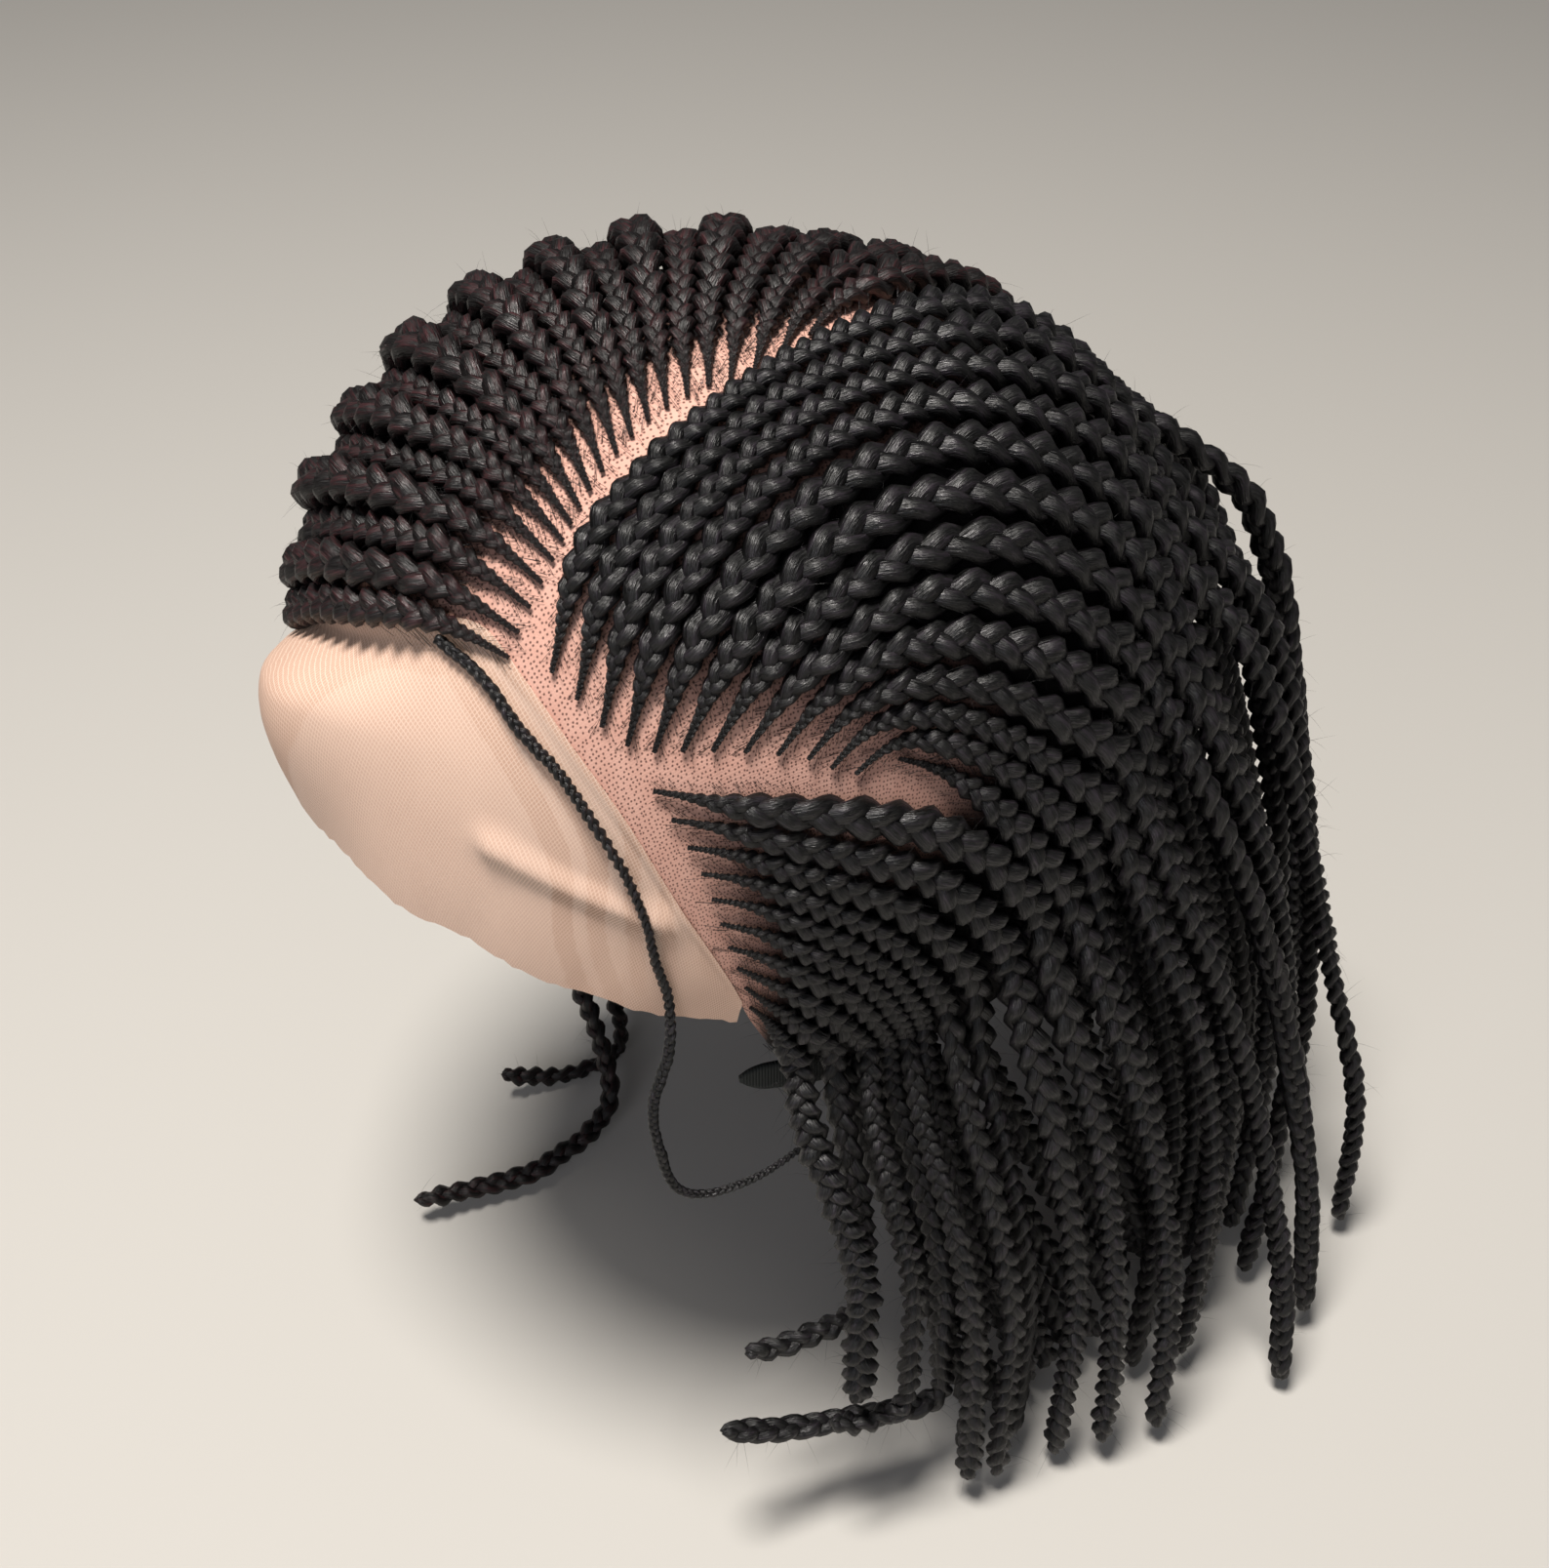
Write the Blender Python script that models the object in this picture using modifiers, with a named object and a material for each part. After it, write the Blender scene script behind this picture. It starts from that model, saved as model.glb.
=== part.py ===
# Braid wig: a lace-fronted cap with cornrows that end in loose, bob-length braids.
# Metres, +Z up, the face towards -Y, the wearer's left at +X.
# The origin is the crown of the head, at the inside of the cap.

from collections import namedtuple
from math import atan2, ceil, cos, degrees, exp, floor, hypot, pi, radians, sin

import bmesh
import bpy
from mathutils import Matrix, Vector

# Head that the cap is made for
HEAD_HALF_WIDTH = 0.079
HEAD_HALF_DEPTH = 0.098
HEAD_HALF_HEIGHT = 0.095
HEAD_SQUARENESS = 2.3        # 2 would be an ellipsoid
HEAD_TILT = radians(10)      # the chin is up

# Cap, lace and tab
CAP_WALL = 0.0012
CAP_COLUMNS = 36
CAP_RINGS = 10
LACE_WALL = 0.0010
LACE_ROWS = 6
FLAP_RISE = 0.014            # the lace stands off the forehead on the right
TAB_LENGTH = 0.024
TAB_WIDTH = 0.0076
EDGE_GAP = 0.0006            # between pieces that meet edge to edge

# Braids
START_DIAMETER = 0.0022
CORNROW_DIAMETER = 0.0076
LOOSE_DIAMETER = 0.0066
FRONT_BRAID_DIAMETER = 0.0084
BABY_BRAID_DIAMETER = 0.0024
BABY_LIFT = 0.0006           # the thin braid lies this clear of the lace
BABY_STEP = 0.011
TAPER_LENGTH = 0.036         # a cornrow grows to its full width over this
CORNROW_LIFT = 0.0006        # a cornrow lies this clear of the cap
LANE_GAP = 0.0004            # between neighbouring cornrows
CORNROW_STEP = 0.016         # between the rings of a tube
LOOSE_STEP = 0.030

# Curtain of loose braids: an ellipse seen from above, wider further down
HAIR_DROP = 0.292            # from the crown down to the ends
CURTAIN_HALF_WIDTH = 0.098
CURTAIN_HALF_DEPTH = 0.128
CURTAIN_SETBACK = 0.0085     # its middle is this far behind the crown
LAYER_STEP = 0.0078          # from the outer layer in to the inner one
END_RAGGEDNESS = 0.0025      # the ends differ by this, up or down
END_PATTERN = 2.4            # radians of the raggedness wave from one row to the next

# Edges of the cap and of the lace: angle round the head from the face to the left,
# and angle down from the crown, both in degrees
Edge = namedtuple("Edge", "round down")

# Under layer: flat locks of braids that hang from the back of the cap and from its edge
NAPE_LOCKS = 13
NAPE_FIRST_ANGLE = 97        # degrees round from the face to the left
NAPE_LAST_ANGLE = 263
LOCK_THICKNESS = 0.0050
LOCK_FILL = 0.84             # share of the pitch that a lock is wide
NAPE_LIFT = 0.0006           # from the outside of the cap to a lock that starts on it
NAPE_GAP = 0.0014            # from the cap's edge to the middle of a lock that starts there
NAPE_END_SHARE = 0.82        # of the curtain's size, at the ends
# Where the locks start, below the rows that leave the cap; those further down than the
# cap's edge start at the edge
NAPE_START = (
    Edge(97, 140), Edge(111, 140), Edge(125, 118), Edge(139, 100), Edge(152, 90), Edge(166, 84),
    Edge(180, 82), Edge(194, 83), Edge(208, 88), Edge(221, 95), Edge(235, 102), Edge(249, 110),
    Edge(263, 116),
)

CAP_EDGE = (
    Edge(-180, 136), Edge(-140, 134), Edge(-100, 130), Edge(-75, 123), Edge(-58, 111),
    Edge(-40, 98), Edge(-20, 85), Edge(-2, 76), Edge(12, 69), Edge(25, 63), Edge(34, 66),
    Edge(44, 73), Edge(51, 80), Edge(58, 90), Edge(67, 104), Edge(73, 115), Edge(80, 124),
    Edge(100, 130), Edge(140, 134), Edge(180, 136),
)
LACE_EDGE = (
    Edge(-60, 117), Edge(-40, 107), Edge(-20, 102), Edge(0, 100), Edge(15, 101),
    Edge(30, 103), Edge(45, 107), Edge(60, 111), Edge(70, 114),
)
# How far the lace flap stands off: round the head, and from the cap down to the lace's edge
FlapShape = namedtuple("FlapShape", "place share")
FLAP_ROUND = (
    FlapShape(-60, 0), FlapShape(-30, 0.3), FlapShape(0, 1), FlapShape(12, 0.6),
    FlapShape(30, 0.05), FlapShape(70, 0),
)
FLAP_DOWN = (FlapShape(0, 0), FlapShape(0.12, 0.06), FlapShape(0.42, 1), FlapShape(1, 0.5))

# Outline of the tab, from its point back to its root: shares of its length and of its width
TAB_ROOT = 90                # degrees round from the face to the left
TAB_SHAPE = ((0.97, 0.12), (0.86, 0.62), (0.7, 0.95), (0.35, 1), (0, 1))

# Curtain: share of the drop below the crown, shares of its half width and half depth
Level = namedtuple("Level", "drop width depth")
CURTAIN = (
    Level(0.00, 0.60, 0.30), Level(0.14, 0.80, 0.55), Level(0.19, 0.86, 0.68),
    Level(0.27, 0.93, 0.80), Level(0.42, 0.96, 0.92), Level(0.58, 0.98, 1.02),
    Level(0.77, 1.01, 1.07), Level(0.90, 1.03, 1.08), Level(1.00, 1.03, 1.05),
)

# Rows of cornrows. A guide gives one row's places on the cap, in degrees from the crown
# to the left and to the back, then the angle round the curtain at which it hangs.
# The rows between two guides are read from a smooth curve through them.
Guide = namedtuple("Guide", "row places hangs_at")
Section = namedtuple("Section", "name rows inner_rows guides")
CROWN_SECTION = Section("crown_braid", 20, (12, 15, 18), (
    Guide(1, ((33, -54), (22, -60), (6, -70), (-22, -80), (-56, -76), (-86, -62)), 291),
    Guide(5, ((27, -44), (14, -48), (-4, -55), (-27, -60), (-58, -56), (-88, -42)), 270),
    Guide(9, ((22, -37), (12, -37), (-6, -39), (-28, -40), (-58, -36), (-88, -23)), 247),
    Guide(13, ((17, -28), (7, -26), (-8, -23), (-28, -19), (-56, -11), (-84, 2)), 224),
    Guide(16, ((15, -20), (4, -16), (-8, -10), (-24, -2), (-46, 10), (-70, 24)), 206),
    Guide(18, ((14, -14), (4, -8), (-8, 1), (-20, 12), (-36, 26), (-51, 40)), 194),
    Guide(20, ((9, -5), (3, 1), (-3, 11), (-8, 21), (-14, 33), (-20, 45)), 183),
))
ARC_SECTION = Section("arc_braid", 13, (3, 6, 9, 12), (
    Guide(1, ((38, -50), (29, -40), (19, -19), (9, 4), (1, 24), (-3, 43)), 175),
    Guide(4, ((51, -45), (40, -34), (29, -15), (23, 5), (23, 24), (25, 43)), 155),
    Guide(7, ((57, -34), (50, -24), (43, -9), (40, 7), (41, 24), (44, 44)), 138),
    Guide(10, ((63, -20), (58, -12), (56, -3), (57, 9), (60, 26), (61, 44)), 124),
    Guide(12, ((67, -12), (63.5, -4), (65, 7), (69, 20), (73, 34), (74.5, 47)), 114.5),
    Guide(13, ((66, -4), (68, 3), (71, 11), (75, 20), (80, 35), (82, 48)), 110),
))
SIDE_SECTION = Section("side_braid", 10, (3, 5, 7, 9), (
    Guide(1, ((58, -44), (65, -33), (71, -18), (77, 4), (83, 24), (88, 42)), 103.3),
    Guide(4, ((73, -41), (80, -29), (89, -14), (97, 2), (105, 18), (110, 32)), 91.5),
    Guide(7, ((88, -39), (94, -30), (101, -18), (109, -4), (116, 9), (121, 20)), 85),
    Guide(9, ((98, -36), (103, -31), (108, -24), (113, -17), (117, -11), (120, -5)), 75.3),
    Guide(10, ((103, -35), (107, -31), (111, -27), (114, -24), (117, -21), (120, -18)), 75),
))
SECTIONS = (CROWN_SECTION, ARC_SECTION, SIDE_SECTION)
FRONT_ROW = 10               # of the side section: the thick braid in front of the ear
FRONT_BRAID_DROP = 0.83      # share of the drop at which it ends

# Loose braids that stand out of the curtain: share of the drop, how far, and over what
# share of the drop
Stray = namedtuple("Stray", "drop bulge spread")
STRAYS = {
    ("arc_braid", 2): Stray(0.28, 0.008, 0.13),
    ("arc_braid", 5): Stray(0.98, 0.023, 0.28),
    ("arc_braid", 8): Stray(1.05, 0.021, 0.30),
    ("arc_braid", 10): Stray(1.05, 0.025, 0.30),
    ("arc_braid", 13): Stray(1.05, 0.010, 0.30),
    ("side_braid", 1): Stray(1.05, 0.006, 0.30),
    ("crown_braid", 19): Stray(0.60, 0.006, 0.13),
}

# How a braid takes its place where it hangs: share of the way down, share of the turn
# round the curtain, share of the way from the cap out to the curtain, and share of the
# step in to the inner layer
HANGING = (
    (0.13, 0.25, 0.40, 0.8), (0.36, 0.70, 0.85, 1), (0.60, 1, 1, 1), (0.80, 1, 1, 1), (1, 1, 1, 1),
)

# Ends of the front braids that curl forward: share of the drop where the braid turns, then
# how far it goes forward, to the wearer's right and up from there
Curl = namedtuple("Curl", "drop forward right rise")
CURL_SAG = 0.004
CURL_SHAPE = ((0.0, 0.7, 0.0), (0.40, 1.0, 1.0), (0.75, 1.0, 0.8), (1.0, 1.0, 0.0))
CURLS = {
    ("side_braid", 9): Curl(0.76, 0.028, 0.004, -0.003),
    ("side_braid", 8): Curl(0.85, 0.020, 0.002, 0.002),
    ("side_braid", 7): Curl(0.90, 0.058, 0.004, 0.016),
    ("crown_braid", 1): Curl(0.98, 0.066, -0.050, 0.000),
    ("crown_braid", 2): Curl(1.00, 0.040, -0.016, 0.006),
}

# Thin braid at the hairline: first on the lace, in degrees from the crown to the left and
# to the back, then hanging free, in metres from the crown
BABY_ON_LACE = (
    (24, -61), (33, -58), (41, -57), (49, -55), (57, -54), (66, -53), (75, -53), (83, -54), (91, -54),
)
BABY_HANGING = (
    (0.077, -0.0655, -0.122), (0.078, -0.070, -0.137), (0.079, -0.069, -0.152),
    (0.080, -0.066, -0.163), (0.080, -0.059, -0.168), (0.079, -0.047, -0.169),
    (0.077, -0.036, -0.167), (0.075, -0.028, -0.164),
)

TILT = Matrix.Rotation(-HEAD_TILT, 3, "X")
CROWN = TILT @ Vector((0, 0, HEAD_HALF_HEIGHT))


# Value at x of a smooth curve through rows of numbers, which stand at the rising keys
def smooth(keys, rows, x):
    last = len(keys) - 1
    i = 0
    while i < last - 1 and x > keys[i + 1]:
        i += 1

    def slope(j):
        a = max(j - 1, 0)
        b = min(j + 1, last)
        return [(q - p) / (keys[b] - keys[a]) for p, q in zip(rows[a], rows[b])]

    span = keys[i + 1] - keys[i]
    t = min(max((x - keys[i]) / span, 0), 1)
    start, end = 2 * t**3 - 3 * t**2 + 1, 3 * t**2 - 2 * t**3
    leave, arrive = (t**3 - 2 * t**2 + t) * span, (t**3 - t**2) * span
    columns = zip(rows[i], rows[i + 1], slope(i), slope(i + 1))
    return [start * p + end * q + leave * m + arrive * n for p, q, m, n in columns]


# A table's second column at a value of its first
def read(table, x):
    return smooth([row[0] for row in table], [row[1:] for row in table], x)[0]


def running_length(points):
    lengths = [0.0]
    for a, b in zip(points, points[1:]):
        lengths.append(lengths[-1] + (Vector(b) - Vector(a)).length)
    return lengths


# Point at a height over the head, a number of degrees from the crown to the left and back
def over_head(left, back, height):
    down = hypot(left, back)
    if down < 1e-6:
        way = Vector((0, 0, 1))
    else:
        flat = sin(radians(down)) / down
        way = Vector((left * flat, back * flat, cos(radians(down))))
    axes = (HEAD_HALF_WIDTH + height, HEAD_HALF_DEPTH + height, HEAD_HALF_HEIGHT + height)
    total = sum(abs(part / axis) ** HEAD_SQUARENESS for part, axis in zip(way, axes))
    return TILT @ (way * total ** (-1 / HEAD_SQUARENESS)) - CROWN


# The same, by the angle round from the face to the left and the angle down from the crown
def over_head_at(angle, down, height):
    return over_head(down * sin(radians(angle)), -down * cos(radians(angle)), height)


# A point that would be less than a height over the head, pushed out to that height
def clear_of_head(point, height):
    from_centre = TILT.transposed() @ (point + CROWN)
    axes = (HEAD_HALF_WIDTH + height, HEAD_HALF_DEPTH + height, HEAD_HALF_HEIGHT + height)
    total = sum(abs(part / axis) ** HEAD_SQUARENESS for part, axis in zip(from_centre, axes))
    if total >= 1:
        return point
    return TILT @ (from_centre * total ** (-1 / HEAD_SQUARENESS)) - CROWN


# Half width and half depth of the curtain at a height below the crown
def curtain_size(z):
    share = min(max(-z / HAIR_DROP, 0), 1)
    width, depth = smooth([level.drop for level in CURTAIN], [level[1:] for level in CURTAIN], share)
    return width * CURTAIN_HALF_WIDTH, depth * CURTAIN_HALF_DEPTH


def curtain_point(angle, z, outward=0.0, scale=1.0):
    width, depth = curtain_size(z)
    x = (width * scale + outward) * sin(radians(angle))
    y = CURTAIN_SETBACK - (depth * scale + outward) * cos(radians(angle))
    return Vector((x, y, z))


def curtain_angle(point):
    width, depth = curtain_size(point.z)
    return degrees(atan2(point.x / width, (CURTAIN_SETBACK - point.y) / depth)) % 360


# How far a point lies inside the curtain
def inside_curtain(point):
    width, depth = curtain_size(point.z)
    return CURTAIN_HALF_WIDTH * (1 - hypot(point.x / width, (CURTAIN_SETBACK - point.y) / depth))


def make_material(name, color, roughness):
    material = bpy.data.materials.new(name)
    material.use_nodes = True
    shader = material.node_tree.nodes["Principled BSDF"]
    shader.inputs["Base Color"].default_value = (*color, 1)
    shader.inputs["Roughness"].default_value = roughness
    shader.inputs["Metallic"].default_value = 0
    return material


# Tube through points, with a radius at each
def make_tube(name, points, radii, material, collection):
    curve = bpy.data.curves.new(name, "CURVE")
    curve.dimensions = "3D"
    curve.bevel_depth = max(radii)
    curve.bevel_resolution = 1
    curve.use_fill_caps = True
    spline = curve.splines.new("POLY")
    spline.points.add(len(points) - 1)
    for place, point, radius in zip(spline.points, points, radii):
        place.co = (*point, 1)
        place.radius = radius / max(radii)
    curve.materials.append(material)
    tube = bpy.data.objects.new(name, curve)
    collection.objects.link(tube)
    return tube


# Sheet from rows of points, thickened outward with offset 1, inward with offset -1
def make_sheet(name, rows, wall, offset, material, collection):
    mesh = bpy.data.meshes.new(name)
    bm = bmesh.new()
    grid = [[bm.verts.new(point) for point in row] for row in rows]
    for upper, lower in zip(grid, grid[1:]):
        for i in range(len(upper) - 1):
            bm.faces.new((upper[i], lower[i], lower[i + 1], upper[i + 1]))
    bm.to_mesh(mesh)
    bm.free()
    mesh.materials.append(material)
    sheet = bpy.data.objects.new(name, mesh)
    collection.objects.link(sheet)
    thicken(sheet, wall, offset)
    return sheet


def thicken(sheet, wall, offset):
    shell = sheet.modifiers.new("Wall", "SOLIDIFY")
    shell.thickness = wall
    shell.offset = offset
    shell.use_even_offset = True


# Cap: the top half of a sphere, spread over the head down to the cap's edge
def build_cap(material, collection):
    mesh = bpy.data.meshes.new("lace_cap")
    bm = bmesh.new()
    bmesh.ops.create_uvsphere(bm, u_segments=CAP_COLUMNS, v_segments=2 * CAP_RINGS, radius=1)
    below = [vert for vert in bm.verts if vert.co.z < -0.01]
    bmesh.ops.delete(bm, geom=below, context="VERTS")
    for vert in bm.verts:
        share = atan2(hypot(vert.co.x, vert.co.y), vert.co.z) / (pi / 2)
        angle = degrees(atan2(vert.co.x, -vert.co.y))
        vert.co = over_head_at(angle, share * read(CAP_EDGE, angle), 0)
    bm.to_mesh(mesh)
    bm.free()
    mesh.materials.append(material)
    cap = bpy.data.objects.new("lace_cap", mesh)
    collection.objects.link(cap)
    thicken(cap, CAP_WALL, 1)


# Lace apron: from the cap's edge down over the forehead, bulging off it on the right
def build_lace(material, collection):
    pitch = 360 / CAP_COLUMNS
    first = ceil(LACE_EDGE[0].round / pitch)
    last = floor(LACE_EDGE[-1].round / pitch)
    gap = degrees(EDGE_GAP / HEAD_HALF_HEIGHT)
    rows = []
    for j in range(LACE_ROWS + 1):
        share = j / LACE_ROWS
        row = []
        for column in range(first, last + 1):
            angle = column * pitch
            top = read(CAP_EDGE, angle) + gap
            down = top + (read(LACE_EDGE, angle) - top) * share
            rise = FLAP_RISE * read(FLAP_ROUND, angle) * read(FLAP_DOWN, share)
            row.append(over_head_at(angle, down, LACE_WALL + rise))
        rows.append(row)
    make_sheet("lace_front", rows, LACE_WALL, -1, material, collection)


# Elastic tab: an upright strip just under the cap's edge, its point in front of the ear
def build_tab(material, collection):
    angle_step = degrees(TAB_LENGTH / HEAD_HALF_WIDTH)
    down = read(CAP_EDGE, TAB_ROOT) + degrees(EDGE_GAP / HEAD_HALF_HEIGHT)
    rows = []
    for side in (0, 0.5, 1):
        row = []
        for along, width in TAB_SHAPE:
            top = over_head_at(TAB_ROOT - angle_step * along, down, 0)
            row.append(top - Vector((0, 0, TAB_WIDTH * (0.5 + (side - 0.5) * width))))
        rows.append(row)
    make_sheet("ear_tab", rows, CAP_WALL, 1, material, collection)


# Places of one row on the cap, and its angle round the curtain
def row_between_guides(section, row):
    keys = [guide.row for guide in section.guides]
    flat = [sum(guide.places, ()) + (guide.hangs_at,) for guide in section.guides]
    numbers = smooth(keys, flat, row)
    return list(zip(numbers[0:-1:2], numbers[1:-1:2])), numbers[-1]


# Middle line of a row on the cap: its places, a running length for each, and its hanging angle
def cap_line(section, row):
    places, hangs_at = row_between_guides(section, row)
    keys = running_length([over_head(*place, CAP_WALL) for place in places])
    return places, keys, hangs_at


# Points along that middle line, to measure the lanes between rows
def lane_line(section, row):
    places, keys, _ = cap_line(section, row)
    steps = 2 * round(keys[-1] / CORNROW_STEP)
    return [over_head(*smooth(keys, places, keys[-1] * i / steps), CAP_WALL) for i in range(steps + 1)]


def distance_to_line(point, line):
    best = (point - line[0]).length
    for a, b in zip(line, line[1:]):
        share = (point - a).dot(b - a) / (b - a).length_squared
        best = min(best, (point - a.lerp(b, min(max(share, 0), 1))).length)
    return best


# Radius of a cornrow: grows from its start, and stays within its lane
def cornrow_radius(length, full_diameter, lane):
    grown = min(length / TAPER_LENGTH, 1)
    grown = grown * grown * (3 - 2 * grown)
    widest = CORNROW_DIAMETER * full_diameter / LOOSE_DIAMETER
    diameter = START_DIAMETER + (widest - START_DIAMETER) * grown
    return min(diameter, lane - LANE_GAP) / 2


# Route of a braid: along the cap, then down round the curtain
def braid_route(section, row):
    places, place_keys, hangs_at = cap_line(section, row)
    beside = [lane_line(section, other) for other in (row - 1, row + 1) if 1 <= other <= section.rows]
    key = (section.name, row)
    front = section is SIDE_SECTION and row == FRONT_ROW
    diameter = FRONT_BRAID_DIAMETER if front else LOOSE_DIAMETER
    layer = LAYER_STEP if row in section.inner_rows else 0

    count = max(6, round(place_keys[-1] / CORNROW_STEP))
    points, radii = [], []
    for i in range(count + 1):
        length = place_keys[-1] * i / count
        left, back = smooth(place_keys, places, length)
        on_cap = over_head(left, back, CAP_WALL)
        lane = min(distance_to_line(on_cap, line) for line in beside)
        radius = cornrow_radius(length, diameter, lane)
        points.append(over_head(left, back, CAP_WALL + CORNROW_LIFT + radius))
        radii.append(radius)

    top = points[-1]
    leaves_at = curtain_angle(top)
    drop = FRONT_BRAID_DROP if front else 1
    bottom = -HAIR_DROP * drop + END_RAGGEDNESS * (1 + sin(END_PATTERN * row))
    curl = CURLS.get(key)
    if curl:
        bottom = -HAIR_DROP * curl.drop
    stray = STRAYS.get(key, Stray(0, 0, 1))
    inset = inside_curtain(top)
    for share, turned, settled, layered in HANGING:
        z = top.z + (bottom - top.z) * share
        angle = leaves_at + (hangs_at - leaves_at) * turned
        spread = (-z / HAIR_DROP - stray.drop) / stray.spread
        outward = stray.bulge * exp(-spread * spread) - layer * layered - inset * (1 - settled)
        least = CAP_WALL + CORNROW_LIFT + diameter / 2
        points.append(clear_of_head(curtain_point(angle, z, outward), least))
        radii.append(radius + (diameter / 2 - radius) * turned)
    if curl:
        turn = points.pop()
        radii.pop()
        for forward, right, sagged in CURL_SHAPE:
            rise = curl.rise * forward - CURL_SAG * sagged
            step = (-curl.right * right, -curl.forward * forward, rise)
            points.append(turn + Vector(step))
            radii.append(diameter / 2)
    return points, radii, place_keys[-1]


# Rings of a tube: closer together on the cap than where it hangs
def rings_along(points, radii, cap_length, loose_step):
    keys = running_length(points)
    rows = [(*point, radius) for point, radius in zip(points, radii)]
    total = keys[-1]
    on_cap = max(6, round(cap_length / CORNROW_STEP))
    hanging = max(3, round((total - cap_length) / loose_step))
    lengths = [cap_length * i / on_cap for i in range(on_cap)]
    lengths += [cap_length + (total - cap_length) * i / hanging for i in range(hanging + 1)]
    samples = [smooth(keys, rows, length) for length in lengths]
    return [Vector(sample[:3]) for sample in samples], [sample[3] for sample in samples]


def build_section(section, material, collection):
    for row in range(1, section.rows + 1):
        loose_step = LOOSE_STEP / 2 if (section.name, row) in CURLS else LOOSE_STEP
        points, radii = rings_along(*braid_route(section, row), loose_step)
        make_tube(f"{section.name}_{row:02d}", points, radii, material, collection)


# Top of a lock: against the outside of the cap, or just under its edge
def lock_top(angle, end):
    start, edge = read(NAPE_START, angle), read(CAP_EDGE, (angle + 180) % 360 - 180)
    if start < edge:
        return over_head_at(angle, start, CAP_WALL + NAPE_LIFT + LOCK_THICKNESS / 2)
    top = over_head_at(angle, edge, CAP_WALL / 2)
    return top + (end - top).normalized() * NAPE_GAP


# Flat locks of the under layer
def build_nape(material, collection):
    pitch = (NAPE_LAST_ANGLE - NAPE_FIRST_ANGLE) / (NAPE_LOCKS - 1)
    for lock in range(NAPE_LOCKS):
        middle = NAPE_FIRST_ANGLE + pitch * lock
        angles = [middle + pitch * LOCK_FILL * share for share in (-0.5, 0, 0.5)]
        rows = []
        for share in (0, 0.33, 0.67, 1):
            row = []
            for angle in angles:
                end = curtain_point(angle, -HAIR_DROP + 2 * END_RAGGEDNESS, 0, NAPE_END_SHARE)
                row.append(lock_top(angle, end).lerp(end, share))
            rows.append(row)
        make_sheet(f"nape_lock_{lock + 1:02d}", rows, LOCK_THICKNESS, 0, material, collection)


# Thin braid: along the hairline on the lace, then a free loop towards the ear
def build_baby_braid(material, collection):
    radius = BABY_BRAID_DIAMETER / 2
    height = LACE_WALL + BABY_LIFT + radius
    points = [over_head(*place, height) for place in BABY_ON_LACE]
    points += [Vector(point) for point in BABY_HANGING]
    keys = running_length(points)
    count = round(keys[-1] / BABY_STEP)
    samples = [Vector(smooth(keys, points, keys[-1] * i / count)) for i in range(count + 1)]
    make_tube("baby_hair_braid", samples, [radius] * len(samples), material, collection)


def main():
    for old in list(bpy.data.objects):
        bpy.data.objects.remove(old)
    wig = bpy.data.collections.new("braid_wig")
    bpy.context.scene.collection.children.link(wig)

    cap_lace = make_material("cap_lace", (0.48, 0.31, 0.25), 0.8)
    front_lace = make_material("front_lace", (0.62, 0.45, 0.36), 0.8)
    elastic = make_material("elastic", (0.02, 0.025, 0.025), 0.7)
    black_hair = make_material("black_braiding_hair", (0.010, 0.009, 0.010), 0.45)
    brown_hair = make_material("brown_black_braiding_hair", (0.018, 0.010, 0.010), 0.45)

    build_cap(cap_lace, wig)
    build_lace(front_lace, wig)
    build_tab(elastic, wig)
    for section in SECTIONS:
        build_section(section, brown_hair if section is CROWN_SECTION else black_hair, wig)
    build_nape(black_hair, wig)
    build_baby_braid(black_hair, wig)


main()
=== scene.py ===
# Braid wig, dressed: three-strand braids, knotted lace, sheer lace front and elastic tab
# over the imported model. Metres, Z up, the face towards -Y, the wearer's left at +X.

import bpy
import random
import numpy as np
from math import atan2, cos, degrees, exp, hypot, pi, radians, sin
from mathutils import Matrix, Vector


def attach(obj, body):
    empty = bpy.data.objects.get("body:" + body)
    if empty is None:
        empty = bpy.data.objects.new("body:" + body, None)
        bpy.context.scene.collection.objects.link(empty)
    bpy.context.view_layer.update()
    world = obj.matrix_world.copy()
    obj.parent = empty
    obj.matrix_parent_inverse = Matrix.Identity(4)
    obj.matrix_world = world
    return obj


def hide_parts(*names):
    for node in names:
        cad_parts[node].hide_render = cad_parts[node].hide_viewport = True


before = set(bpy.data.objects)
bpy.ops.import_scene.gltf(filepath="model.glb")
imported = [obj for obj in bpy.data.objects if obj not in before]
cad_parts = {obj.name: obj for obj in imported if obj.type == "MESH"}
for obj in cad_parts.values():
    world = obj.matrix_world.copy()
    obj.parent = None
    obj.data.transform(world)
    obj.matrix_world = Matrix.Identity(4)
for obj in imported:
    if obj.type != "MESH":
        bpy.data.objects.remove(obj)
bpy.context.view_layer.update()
print("frame loaded:", len(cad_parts), "nodes")

mm = 0.001


# Camera, floor and light

cameraSetup = {
    "place": (0.3704, -0.1634, 0.2021),
    "azimuth": 67.45,        # degrees round from the front, towards the wearer's left
    "elevation": 39.26,
    "lens": 48.6,
}
floorSetup = {"height": -0.2976, "size": 6.0, "colour": "#c9c6c0"}
lightSetup = {
    "skyColour": "#e9eaee", "skyStrength": 0.13,
    "keyPlace": (0.20, -0.30, 1.25), "keySize": 0.42, "keyPower": 31.0, "keyColour": "#fffaf4",
    "fillPlace": (1.1, -1.0, 0.6), "fillSize": 0.8, "fillPower": 4.0, "fillColour": "#f2f4ff",
}


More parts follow.
